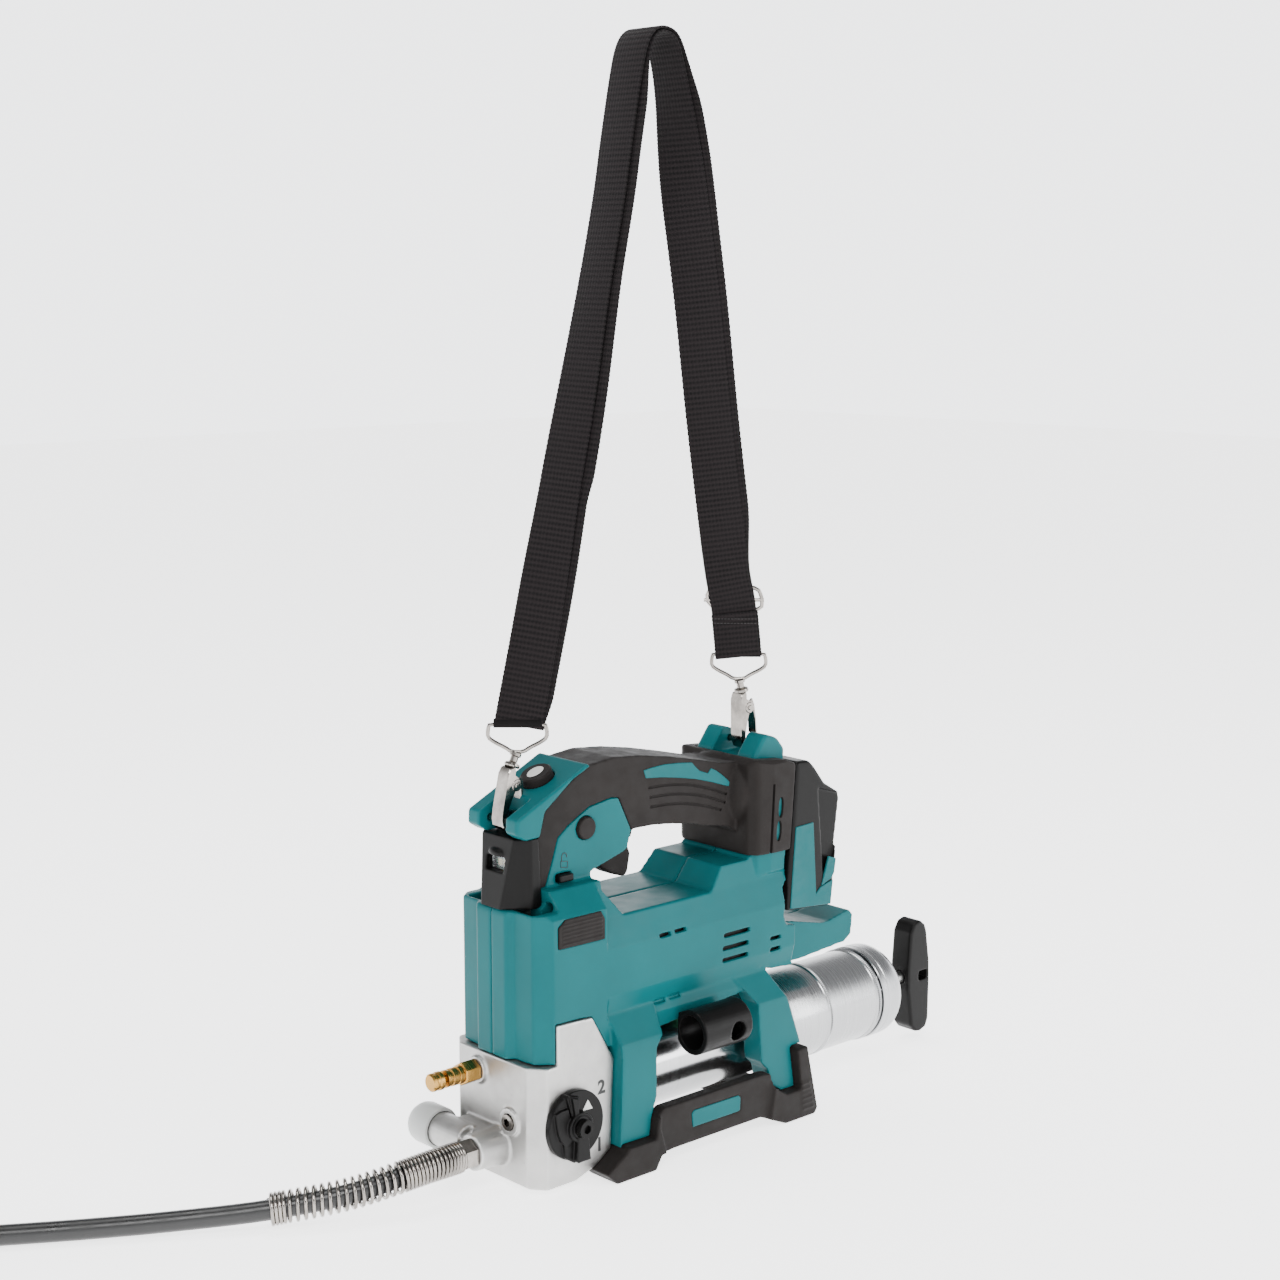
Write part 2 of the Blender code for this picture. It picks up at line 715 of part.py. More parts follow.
def pump_block():
    """The cast body that the barrel, the valves and the hose screw into."""
    side = [(0, 5), (2, 4), (30, 4.3), (46, 9.6), (58.5, 18), (61, 74.5), (58, 79.9), (0, 79.9)]
    block = slab("pump_block", side, -BLOCK_SIDE, BLOCK_SIDE)
    plan = [
        (0, -32), (8, -BLOCK_SIDE), (70, -BLOCK_SIDE), (70, BLOCK_SIDE), (8, BLOCK_SIDE), (0, 32),
    ]
    keep(block, slab("block_plan", plan, -5, 120, "XY"))
    bevel(block, 1.5, 2, 30)
    ear = [(16.3, 66), (54, 66), (60.3, 75.4), (43.8, 103.8), (16.3, 104.8)]
    near_ear = slab("near_ear", ear, -BLOCK_SIDE, -BLOCK_SIDE + 4.2)
    far_ear = slab("far_ear", ear, BLOCK_SIDE - 4.2, BLOCK_SIDE)
    boss_y, boss_z = HOSE_EXIT[1], HOSE_EXIT[2]
    boss = rod("hose_boss", (2, boss_y, boss_z), (-21, boss_y, boss_z), 12.5, 32, 11.0)
    manifold = rod("relief_manifold", (-13.6, 5, 27.5), (-13.6, 38, 27.5), 10.5, 28)
    neck = box("manifold_neck", (-12, -4, 18.5), (2, 24, 36.5))
    collar = rod("valve_collar", (2, 12.6, 68), (-3, 12.6, 68), 8.2, 28)
    screw_boss = rod("screw_boss", (2, -17.4, 42.9), (-2.2, -17.4, 42.9), 8.5, 28)
    join(block, near_ear, far_ear, boss, manifold, neck, collar, screw_boss)
    bore = rod("pump_bore", (36, 0, 20), (36, 0, 120), 5.3, 24)
    port = rod("barrel_port", (44, 0, BARREL_Z), (70, 0, BARREL_Z), BARREL_R + 0.4, 36)
    inlet = rod("inlet_port", (30, 0, BARREL_Z), (50, 0, BARREL_Z), 6.0, 20)
    outlet = rod("outlet_port", (-30, boss_y, boss_z), (38, boss_y, boss_z), 3.0, 16)
    dial_x, dial_z = DIAL
    dial = rod("dial_seat", (dial_x, -60, dial_z), (dial_x, -BLOCK_SIDE + 3.0, dial_z), 8.4, 28)
    dial_bore = rod("dial_bore", (dial_x, -60, dial_z), (dial_x, -26, dial_z), 4.4, 20)
    valve = rod("valve_bore", (-20, 12.6, 68), (12, 12.6, 68), 4.4, 20)
    plug = rod("plug_bore", (-20, -17.4, 42.9), (9, -17.4, 42.9), 5.2, 20)
    cut(block, bore, port, inlet, outlet, dial, dial_bore, valve, plug)
    return finish(block, "aluminium")


def speed_dial():
    """The two-position dial on the near side, with a grip bar across it."""
    x, z = DIAL
    outer = -BLOCK_SIDE - GAP
    dial = rod("speed_dial", (x, outer, z), (x, outer - 4.5, z), DIAL_R, 48)
    right_side = [(6, -24.5), (6, -9), (9.5, 0), (9.5, 8), (5, 20)]
    left_side = [(-u, v) for u, v in reversed(right_side)]
    bar = slab("dial_bar", right_side + left_side, -57.5, outer - 4.0)
    tilt = Matrix.Translation(Vector((x, 0, z)) * MM) @ Matrix.Rotation(math.radians(20), 4, "Y")
    bar.matrix_world = tilt
    stem = rod("dial_stem", (x, outer - 1, z), (x, -28, z), 4.0, 20)
    flange = rod("dial_flange", (x, outer - 1, z), (x, -BLOCK_SIDE + 2.5, z), 8.0, 24)
    join(dial, bar, stem, flange)
    recess = rod("dial_recess", (x, -70, z), (x, -53.0, z), 6.2, 28)
    thread = rod("dial_thread", (x, -70, z), (x, -44, z), 2.4, 16)
    cut(dial, recess, thread)
    return finish(dial, "black", (x, outer, z))


def dial_screw():
    x, z = DIAL
    screw = rod("dial_screw", (x, -53.3, z), (x, -57.0, z), 5.6, 28)
    shank = rod("screw_shank", (x, -53.4, z), (x, -46, z), 2.1, 16)
    socket = rod("screw_socket", (x, -60, z), (x, -54.5, z), 2.9, 6)
    join(screw, shank)
    cut(screw, socket)
    return finish(screw, "black")


def plug_screw():
    screw = rod("plug_screw", (-3.2, -17.4, 42.9), (8.5, -17.4, 42.9), 4.9, 28)
    socket = rod("plug_socket", (-6, -17.4, 42.9), (0.5, -17.4, 42.9), 2.6, 6)
    cut(screw, socket)
    return finish(screw, "steel")


def bleeder_valve():
    y, z = 12.6, 68.0
    body = rod("bleeder_body", (-3.3, y, z), (-14.5, y, z), 7.4, 6)
    neck = rod("bleeder_neck", (-14.4, y, z), (-27.0, y, z), 5.4, 24)
    shank = rod("bleeder_shank", (-3.4, y, z), (11, y, z), 4.1, 20)
    bore = rod("bleeder_bore", (-40, y, z), (-8, y, z), 2.6, 16)
    join(body, neck, shank)
    cut(body, bore)
    return finish(body, "brass")


def bleeder_button():
    y, z = 12.6, 68.0
    knob = turned(
        "bleeder_button",
        [(0, 0), (4.9, 0), (5.6, -0.8), (5.6, -8.0), (2.3, -8.2), (2.3, -20), (0, -20)],
        (-37.5, y, z), (-1, 0, 0), 28,
    )
    return finish(knob, "brass", (-29.0, y, z))


def relief_cap():
    """The translucent cap on the end of the relief tube."""
    cap = turned(
        "relief_cap",
        [(0, 22), (8, 22), (11.5, 19.5), (12.9, 15), (12.9, 0), (10.8, 0), (10.8, 5.4), (0, 5.4)],
        (-13.6, 33.0, 27.5), (0, 1, 0), 28,
    )
    return finish(cap, "white")


def hose_fitting():
    y, z = HOSE_EXIT[1], HOSE_EXIT[2]
    nut = rod("hose_fitting", (-21.3, y, z), (-30.0, y, z), 9.6, 6)
    shank = rod("fitting_shank", (-21.4, y, z), (-8, y, z), 2.7, 16)
    join(nut, shank)
    return finish(nut, "steel")


# ---------------------------------------------------------------- hose

HOSE_ROUTE = [
    (-30.3, -5.0, 25.0), (-54.0, -5.0, 25.0), (-98.0, 9.0, 17.5), (-138.5, 33.0, 11.5), (-180.0, 60.0, 8.6),
    (-222.0, 88.0, 7.0), (-264.6, 116.0, 6.6), (-305.7, 142.7, 6.6),
]
GUARD_END = 3


def hose():
    path = smooth_path(HOSE_ROUTE, 2.2 * 2 * HOSE_R)
    line = tube("hose", path, HOSE_R)
    return finish(line, "hose")


def spring_guard():
    """The sprung sleeve that keeps the hose from kinking at its fitting."""
    start = (HOSE_ROUTE[0][0] - GAP, HOSE_ROUTE[0][1], HOSE_ROUTE[0][2])
    path = smooth_path([start] + HOSE_ROUTE[1:GUARD_END + 1], 20.0)
    guard = tube("spring_guard", path, GUARD_R)
    bore = tube("guard_bore", smooth_path(HOSE_ROUTE, 2.2 * 2 * HOSE_R), HOSE_R + 0.7)
    cut(guard, bore)
    return finish(guard, "steel")


def hose_coil():
    inner = COIL_TURNS_R[0] - HOSE_R
    outer = COIL_TURNS_R[1] + HOSE_R
    low, high = 0.5, 0.5 + 2 * HOSE_R
    corner = 3.0
    profile = [
        (inner + corner, high), (outer - corner, high), (outer, high - corner), (outer, low + corner),
        (outer - corner, low), (inner + corner, low), (inner, low + corner), (inner, high - corner),
        (inner + corner, high),
    ]
    ring = turned("hose_coil", profile, (*COIL_CENTRE, 0), (0, 0, 1), 30)
    return finish(ring, "hose")


def coupler_frame():
    """Where the coupler lies inside the coil: its rear end and its direction."""
    angle = math.radians(19)
    lean = math.radians(21)
    out = Vector((math.cos(angle), math.sin(angle), 0))
    along = Vector((-math.sin(angle), math.cos(angle), 0))
    direction = along * math.cos(lean) - out * math.sin(lean)
    rear = Vector((*COIL_CENTRE, 8.2)) + out * 50.0
    return rear, direction


def hose_coupler():
    """The gripping coupler that clips on to a grease nipple."""
    rear, direction = coupler_frame()
    profile = [
        (0, 36), (2.4, 36), (5.0, 34), (6.2, 30), (7.4, 28), (7.4, 13), (6.4, 12), (6.4, 4), (5.6, 3),
        (5.6, 0),
        (0, 0),
    ]
    return finish(turned("hose_coupler", profile, rear, direction, 24), "steel")


# ---------------------------------------------------------------- barrel

def grease_barrel():
    """The cartridge tube, beaded near its rear end."""
    outer, inner = BARREL_R, BARREL_R - 1.4
    profile = [
        (outer, 268), (32.0, 266.5), (32.0, 263), (31.2, 261), (31.2, 216), (31.9, 214.5), (31.2, 213),
        (31.2, 166), (outer, 163), (outer, 0), (inner, 0), (inner, 268), (outer, 268),
    ]
    barrel = turned("grease_barrel", profile, (52, 0, BARREL_Z), (1, 0, 0), 28)
    return finish(barrel, "zinc")


def barrel_cap():
    """The domed end cap, with a hole for the rod."""
    inner = CAP_R - 2.2
    profile = [
        (5.2, 32), (18, 32), (26, 29), (30.5, 23), (CAP_R, 15), (CAP_R, 0.4), (inner, 0.4), (inner, 14),
        (24, 26.5), (17, 29.6), (5.2, 29.6), (5.2, 32),
    ]
    cap = turned("barrel_cap", profile, (CAP_X, 0, BARREL_Z), (1, 0, 0), 28)
    return finish(cap, "zinc")


def plunger_rod():
    shaft = rod("plunger_rod", (110, 0, BARREL_Z), (380, 0, BARREL_Z), 4.2, 24)
    return finish(shaft, "steel", (380, 0, BARREL_Z))


def t_handle():
    """The pull handle, upright, with a slot where the rod is pinned."""
    half = 41.5
    outline = [
        (-10.5, 8), (-8.5, half - 8), (-5, half - 2), (2, half), (7, half - 4), (9, half - 9), (12.5, 10),
        (13, -4), (12.5, -half + 8), (10, -half + 2), (4, -half), (-2, -half + 1), (-6.5, -half + 6),
        (-10.5, -8),
    ]
    centre_x = 383.4
    shape = [(centre_x + x, BARREL_Z + z) for x, z in outline]
    grip = slab("t_handle", shape, -8.5, 8.5)
    bevel(grip, 3.2, 2, 30)
    slot = box("t_slot", (384.5, -20, BARREL_Z - 3), (393.0, 20, BARREL_Z + 3.4))
    bore = rod("t_bore", (365, 0, BARREL_Z), (380.4, 0, BARREL_Z), 4.6, 24)
    cut(grip, slot, bore)
    return finish(grip, "black", (centre_x, 0, BARREL_Z))


def follower():
    """The cup that pushes the grease, pressed forward by its spring."""
    outer = BARREL_R - 1.4 - 0.5
    bore = 4.8
    profile = [
        (bore, 12), (8, 12), (8, 3), (outer - 2, 3), (outer - 2, 12), (outer, 12), (outer, 0),
        (bore, 0), (bore, 12),
    ]
    return finish(turned("follower_piston", profile, (246, 0, BARREL_Z), (1, 0, 0), 24), "black")


def follower_spring():
    """The follower's coil spring, stacked against the cap."""
    turns = 4
    steps = 8
    start, end = 263.0, 338.0
    points = []
    for i in range(turns * steps + 1):
        angle = 2 * math.pi * i / steps
        x = start + (end - start) * i / (turns * steps)
        points.append((x, 21 * math.cos(angle), BARREL_Z + 21 * math.sin(angle)))
    return finish(tube("follower_spring", points, 1.2, resolution=1), "steel")


def hose_holder():
    """The bored bush on the side that parks the coupler."""
    x0, x1, y, z = 112.0, 152.0, -56.5, 82.0
    holder = rod("hose_holder", (x0, y, z), (x1, y, z), 14.2, 36)
    stem = box("holder_stem", (x0, -52, z - 9), (x1 - 3, -45.5, z + 9))
    foot = box("holder_foot", (112.1, -46, 78.5), (122, -44.6, 92.6))
    join(holder, stem, foot)
    bore = rod("holder_bore", (x0 - 5, y, z), (x1 - 4, y, z), 10.6, 32)
    cross = rod("holder_cross", (140, -90, z - 2), (140, y, z - 2), 6.2, 24)
    casing_side = [(-44.3, 60), (-44.3, 88), (-37.5, 101), (-37.5, 120), (0, 120), (0, 60)]
    clearance = slab("holder_clear", casing_side, 100, 160, "YZ")
    cut(holder, bore, cross, clearance)
    return finish(holder, "black")


# ---------------------------------------------------------------- drive

def gear_outline(teeth, root, tip, first_tooth):
    """A plain toothed outline; first_tooth is the angle of one tooth's middle, in degrees."""
    points = []
    for i in range(teeth):
        for share, radius in ((-0.31, root), (-0.125, tip), (0.125, tip), (0.31, root)):
            angle = math.radians(first_tooth) + 2 * math.pi * (i + share) / teeth
            points.append((radius * math.cos(angle), radius * math.sin(angle)))
    return points


def toothed_wheel(name, outline, x0, x1, z):
    return slab(name, [(u, v + z) for u, v in outline], x0, x1, "YZ")


def motor_stator():
    profile = [(20.5, 52), (20.5, 0), (14.6, 0), (14.6, 52), (20.5, 52)]
    stator = turned("motor_stator", profile, (112, 0, MOTOR_Z), (1, 0, 0), 28)
    return finish(stator, "steel")


def motor_rotor():
    rotor = rod("motor_rotor", (114, 0, MOTOR_Z), (162, 0, MOTOR_Z), 13.6, 30)
    shaft = rod("rotor_shaft", (66, 0, MOTOR_Z), (186, 0, MOTOR_Z), 2.5, 20)
    commutator = rod("commutator", (165, 0, MOTOR_Z), (173, 0, MOTOR_Z), 7.0, 24)
    join(rotor, shaft, commutator)
    return finish(rotor, "copper", (114, 0, MOTOR_Z))


def drive_pinion():
    outline = gear_outline(PINION_TEETH, 4.2, 6.4, 270)
    pinion = toothed_wheel("drive_pinion", outline, 66.5, 76, MOTOR_Z)
    cut(pinion, rod("pinion_bore", (60, 0, MOTOR_Z), (80, 0, MOTOR_Z), 2.8, 20))
    return finish(pinion, "steel", (66.5, 0, MOTOR_Z))


def motor_fan():
    hub = rod("motor_fan", (98, 0, MOTOR_Z), (104, 0, MOTOR_Z), 8.0, 24)
    for i in range(8):
        blade = box(f"fan_blade_{i}", (98.5, -0.8, 6.5), (103.5, 0.8, 19.0))
        centre = Matrix.Translation((0, 0, MOTOR_Z * MM))
        blade.matrix_world = centre @ Matrix.Rotation(i * math.pi / 4, 4, "X")
        join(hub, blade)
    cut(hub, rod("fan_bore", (90, 0, MOTOR_Z), (110, 0, MOTOR_Z), 2.8, 20))
    return finish(hub, "black", (98, 0, MOTOR_Z))


def bearing(name, x0, x1, z, outer, inner):
    profile = [(outer, x1 - x0), (outer, 0), (inner, 0), (inner, x1 - x0), (outer, x1 - x0)]
    return finish(turned(name, profile, (x0, 0, z), (1, 0, 0), 28), "steel")


def drive_gear():
    """The big gear with its shaft and crank pin."""
    outline = gear_outline(GEAR_TEETH, 18.2, 20.3, 90 + 180 / GEAR_TEETH)
    gear = toothed_wheel("drive_gear", outline, 66.5, 75, CRANK_Z)
    shaft = rod("gear_shaft", (50, 0, CRANK_Z), (88, 0, CRANK_Z), 4.0, 24)
    disc = rod("crank_disc", (50, 0, CRANK_Z), (56, 0, CRANK_Z), 10.0, 28)
    pin = rod("crank_pin", (48.9, 0, CRANK_Z + 5), (51, 0, CRANK_Z + 5), 2.5, 20)
    join(gear, shaft, disc, pin)
    return finish(gear, "steel", (66.5, 0, CRANK_Z))


def pump_plunger():
    """The yoke that the crank pin works, and the plunger that it drives down into the block."""
    yoke = box("pump_plunger", (42.2, -14, CRANK_Z - 3.2), (48.6, 14, CRANK_Z + 13.2))
    slot = box("yoke_slot", (30, -10.5, CRANK_Z + 1.8), (60, 10.5, CRANK_Z + 8.2))
    arm = box("yoke_arm", (31.5, -5, CRANK_Z - 3.2), (42.3, 5, CRANK_Z + 1.2))
    stem = rod("plunger_stem", (36, 0, CRANK_Z - 3.0), (36, 0, 58), 4.6, 24)
    cut(yoke, slot)
    join(yoke, arm, stem)
    return finish(yoke, "steel", (36, 0, CRANK_Z))


def controller():
    board = box("controller", (150, -24, 86.5), (196, 24, 90.5))
    module = box("controller_module", (158, -18, 90), (188, 18, 100))
    join(board, module)
    return finish(board, "board")


def terminal_block():
    block = box("terminal_block", (208.5, -12, 150), (225.0, 12, 200))
    for i, y in enumerate((-7.0, 7.0)):
        slit = box(f"terminal_slit_{i}", (218, y - 1, 140), (230, y + 1, 193))
        cut(block, slit)
    return finish(block, "black")


# ---------------------------------------------------------------- battery

def battery_outline():
    return [
        split(135.2, -BATTERY_GAP), (258.2, 131.4), (262.6, 162.7), (267.7, 201), (267.6, 206.2),
        (251.6, 215.6),
        (241.6, 228.0), (236.5, 232.8), split(233.4, -BATTERY_GAP),
    ]


def battery_case():
    case = slab("battery_case", battery_outline(), -BATTERY_HALF, BATTERY_HALF)
    bevel(case, 2.0, 2, 30)
    corner = [(245, 213), (252, 143), (263.5, 172), (275, 205), (268, 206)]
    groove = slab("battery_groove", corner, -60, -34.5)
    far_groove = slab("battery_far_groove", corner, 34.5, 60)
    channel = box("battery_channel", (200, -12.8, 120), (226.5, 12.8, 201))
    latch = box("latch_recess", (241.2, -16.4, 215), (275, 16.4, 240))
    cut(case, groove, far_groove, channel, latch)
    return finish(case, "black")


def battery_latch():
    latch = slab("battery_latch", [(243.5, 215.4), (243.5, 225.0), (252.5, 216.2), (252.5, 215.4)], -16, 16)
    return finish(latch, "teal", (247, 0, 219))


# ---------------------------------------------------------------- strap

STRAP_LEFT = [
    (22.5, 279.0), (35.4, 329.3), (46.7, 376.3), (58.0, 423.3), (72.5, 482.1), (84.6, 535.0), (96.7, 587.9),
    (103.2, 623.1), (110.5, 660.0), (115.5, 678.0), (122.0, 686.5),
]
STRAP_RIGHT = [
    (130.5, 688.0), (138.5, 684.0), (144.0, 672.0), (149.7, 647.6), (154.0, 619.3), (158.4, 589.5),
    (168.9, 528.7), (179.8, 454.0), (190.5, 390.0), (196.6, 357.4), (202.2, 335.4), (206.1, 312.0),
    (207.5, 300.5),
]


def strap():
    """The doubled webbing, one loop from clip to clip."""
    flat = STRAP_LEFT + STRAP_RIGHT
    centres = [(x, 0.0, z) for x, z in flat]
    across = [STRAP_ACROSS.copy() for _ in flat]
    return finish(ribbon("strap", centres, across, STRAP_WIDTH, STRAP_THICK), "webbing")


def adjuster_buckle():
    """A square wire frame round the strap."""
    middle = Vector((199.5, 0.0, 345.5))
    out = STRAP_ACROSS
    face = Vector((STRAP_ACROSS.y, -STRAP_ACROSS.x, 0.0))
    half = STRAP_WIDTH / 2 + 2.4
    depth = STRAP_THICK / 2 + 3.4
    corners = [(-half, -depth), (half, -depth), (half, depth), (-half, depth)]
    points = [middle + out * a + face * b + Vector((0, 0, 5.0 if b > 0 else -5.0)) for a, b in corners]
    return finish(tube("adjuster_buckle", points, 1.4, True), "steel")


def ring(name, middle, drop):
    """The triangular ring that the strap hangs in. middle is the middle of its top bar."""
    out = STRAP_ACROSS
    middle = Vector(middle)
    shape = [(-16.6, 0), (16.6, 0), (17.2, -8), (4.5, -drop), (-4.5, -drop), (-17.2, -8)]
    points = [middle + out * a + Vector((0, 0, b)) for a, b in shape]
    return finish(tube(name, points, 1.5, True), "steel")


def clip(name, top, pin, gate_side):
    """A snap hook: a swivel eye above, a flat body and a hook that goes round the anchor pin."""
    top, pin = Vector(top), Vector(pin)
    axis = (top - pin).normalized()
    side = Vector((axis.z, 0, -axis.x)) * gate_side
    back = -5.4 * side
    shank = [(8, 0), (11, 0.5), (15, 1)]
    hook = [(3, 1), (-1.2, 0.95), (-4.4, 0.55), (-5.2, 0), (-4.2, -0.6), (-1.0, -0.95), (4.5, -1)]
    points = [top - axis * 1.5]
    points += [top - axis * down + back * out for down, out in shank]
    points += [pin + axis * up + back * out for up, out in hook]
    body = tube(name, points, 2.0)
    eye = rod(f"{name}_eye", top - axis * 6.0, top + axis * 1.5, 3.6, 20)
    join(body, eye)
    return finish(body, "steel", tuple(top))


def clip_gate(name, top, pin, gate_side):
    """The sprung gate that closes the hook."""
    top, pin = Vector(top), Vector(pin)
    axis = (top - pin).normalized()
    side = Vector((axis.z, 0, -axis.x)) * gate_side
    hinge = top - axis * 12.0 + side * 2.2
    tip = pin + side * 5.4 + axis * 5.4
    gate = tube(name, [hinge, (hinge + tip) / 2 + side * 0.6, tip], 1.5)
    return finish(gate, "steel", tuple(hinge))


FRONT_TOP = (17.5, 0.0, 256.5)
FRONT_PIN = (11.0, 0.0, 223.0)
REAR_TOP = (210.5, 0.0, 278.0)
REAR_PIN = (212.0, 0.0, 244.0)


def strap_hardware():
    ring("front_ring", (21.5, 0.0, 274.5), 12.0)
    ring("rear_ring", (208.3, 0.0, 296.4), 12.0)
    clip("front_clip", FRONT_TOP, FRONT_PIN, 1)
    clip_gate("front_gate", FRONT_TOP, FRONT_PIN, 1)
    clip("rear_clip", REAR_TOP, REAR_PIN, 1)
    clip_gate("rear_gate", REAR_TOP, REAR_PIN, 1)
    adjuster_buckle()


def move_to_origin():
    for obj in list(PARTS.objects) + list(CUTTERS.objects):
        if obj.parent is None:
            obj.location -= ORIGIN * MM


def build():
    housings()
    side_pads()
    grip_cover()
    base_guard()
    bar_inlays()
    led_bezel()
    led_lens()
    led_board()
    front_anchor()
    front_anchor_pin()
    rear_anchor()
    rear_anchor_pin()
    trigger()
    switch_body()
    lock_button()
    lock_slider()
    lamp_button()
    pump_block()
    speed_dial()
    dial_screw()
    plug_screw()
    bleeder_valve()
    bleeder_button()
    relief_cap()
    hose_fitting()
    hose()
    spring_guard()
    hose_coil()
    hose_coupler()
    grease_barrel()
    barrel_cap()
    plunger_rod()
    t_handle()
    follower()
    follower_spring()
    hose_holder()
    motor_stator()
    motor_rotor()
    drive_pinion()
    motor_fan()
    bearing("motor_bearing_front", 84, 91, MOTOR_Z, 8.0, 2.8)
    bearing("motor_bearing_rear", 177, 184, MOTOR_Z, 8.0, 2.8)
    drive_gear()
    bearing("gear_bearing", 78, 86, CRANK_Z, 11.0, 4.3)
    pump_plunger()
    controller()
    terminal_block()
    battery_case()
    battery_latch()
    strap()
    strap_hardware()
    move_to_origin()


clear_scene()
PARTS = new_collection("grease_gun")
CUTTERS = new_collection("cutters", helper=True)
build()
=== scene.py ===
"""The looks of the cordless grease gun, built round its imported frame.

Places in this script are in the design frame's millimetres: X from the nose to the T-handle, Y across the
tool with the dial on the minus side, Z up from the floor. place() turns them into the frame's metres.
"""

import math

import bmesh
import bpy
from mathutils import Matrix, Vector


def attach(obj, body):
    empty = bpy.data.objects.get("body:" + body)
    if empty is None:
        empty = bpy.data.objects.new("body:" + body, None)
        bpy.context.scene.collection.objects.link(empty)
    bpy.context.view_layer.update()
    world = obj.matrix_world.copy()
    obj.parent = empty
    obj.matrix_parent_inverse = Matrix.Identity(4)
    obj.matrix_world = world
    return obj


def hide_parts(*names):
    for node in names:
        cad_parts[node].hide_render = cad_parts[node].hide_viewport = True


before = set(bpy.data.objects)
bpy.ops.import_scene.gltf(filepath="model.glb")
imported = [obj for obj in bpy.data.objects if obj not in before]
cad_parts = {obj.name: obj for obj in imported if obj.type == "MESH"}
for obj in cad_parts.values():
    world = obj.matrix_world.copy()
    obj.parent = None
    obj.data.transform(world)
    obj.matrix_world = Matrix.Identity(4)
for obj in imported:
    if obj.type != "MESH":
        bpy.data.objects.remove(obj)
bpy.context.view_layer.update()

MM = 0.001
ORIGIN = Vector((179.45, -7.35, 0.0))
TOOL = "tool"
BARREL_Z = 48.3
BARREL_R = 29.5
BARREL_X = 52.0
CAP_X = 320.0
CAP_R = 32.2
HOSE_R = 6.0
GUARD_WIRE = 1.15
GUARD_COIL_R = 8.6
DIAL = Vector((26.7, -42.7, 42.1))
STRAP_ACROSS = Vector((0.7377, -0.6751, 0.0))
STRAP_OUT = Vector((-0.6751, -0.7377, 0.0))
STRAP_LEG_X = 126.0
STRAP_WIDTH = 28.6
STRAP_THICK = 1.5
VENT_HALF = 1.25
VENT_PAIR_LENGTH = 9.5
VENT_PAIRS = [(100.5, 142.4), (113.5, 142.8), (97.5, 100.2), (110.5, 100.6), (198, 121), (198, 113.5)]


def place(x, y, z):
    return (Vector((x, y, z)) - ORIGIN) * MM


TO_FRAME = Matrix.Scale(MM, 4) @ Matrix.Translation(-ORIGIN)


# ---- camera, light, floor

CAMERA_AT = (-800.817, -1007.079, 538.729)
CAMERA_AIM = (120.95, 0.0, 320.06)


def look_at(obj, target):
    obj.rotation_euler = (Vector(target) - obj.location).to_track_quat("-Z", "Y").to_euler()


def camera():
    data = bpy.data.cameras.new("camera")
    data.lens = 62.56
    data.sensor_width = 36.0
    data.clip_start = 0.05
    data.clip_end = 20.0
    obj = link(bpy.data.objects.new("camera", data))
    obj.location = place(*CAMERA_AT)
    look_at(obj, place(*CAMERA_AIM))
    bpy.context.scene.camera = obj


def area_light(name, location, target, size, power):
    data = bpy.data.lights.new(name, "AREA")
    data.shape = "RECTANGLE"
    data.size, data.size_y = size
    data.energy = power
    obj = link(bpy.data.objects.new(name, data))
    obj.location = location
    look_at(obj, target)


def sky_gradient(tree):
    """A white band round the horizon, as of a lit backdrop, and a dimmer ceiling."""
    background = tree.nodes["Background"]
    background.inputs["Color"].default_value = (0.97, 0.98, 1.0, 1.0)
    direction = tree.nodes.new("ShaderNodeTexCoord").outputs["Generated"]
    parts = tree.nodes.new("ShaderNodeSeparateXYZ")
    tree.links.new(direction, parts.inputs[0])
    strength = tree.nodes.new("ShaderNodeMapRange")
    strength.interpolation_type = "SMOOTHSTEP"
    for key, value in (("From Min", 0.17), ("From Max", 0.55), ("To Min", 3.6), ("To Max", 0.45)):
        strength.inputs[key].default_value = value
    tree.links.new(parts.outputs["Z"], strength.inputs["Value"])
    tree.links.new(strength.outputs["Result"], background.inputs["Strength"])


def studio():
    world = bpy.data.worlds.new("studio")
    bpy.context.scene.world = world
    world.use_nodes = True
    sky_gradient(world.node_tree)
    area_light("key", (-1.1, -1.2, 1.7), (0.0, 0.0, 0.15), (1.0, 0.8), 34)
    area_light("side", (1.0, -1.4, 0.7), (0.1, 0.0, 0.1), (0.4, 1.2), 12)
    area_light("top", (0.1, 0.3, 1.9), (0.0, 0.0, 0.1), (1.2, 0.9), 22)
    bm = bmesh.new()
    bmesh.ops.create_grid(bm, x_segments=1, y_segments=1, size=6.0)
    mesh = bpy.data.meshes.new("floor")
    bm.to_mesh(mesh)
    bm.free()
    floor = link(bpy.data.objects.new("floor", mesh))
    white = plain("floor_white", (0.93, 0.93, 0.94), 0.6)
    glow = white.node_tree.nodes["Principled BSDF"]
    glow.inputs["Emission Color"].default_value = (1.0, 1.0, 1.0, 1.0)
    glow.inputs["Emission Strength"].default_value = 2.4
    floor.data.materials.append(white)


# ---- materials

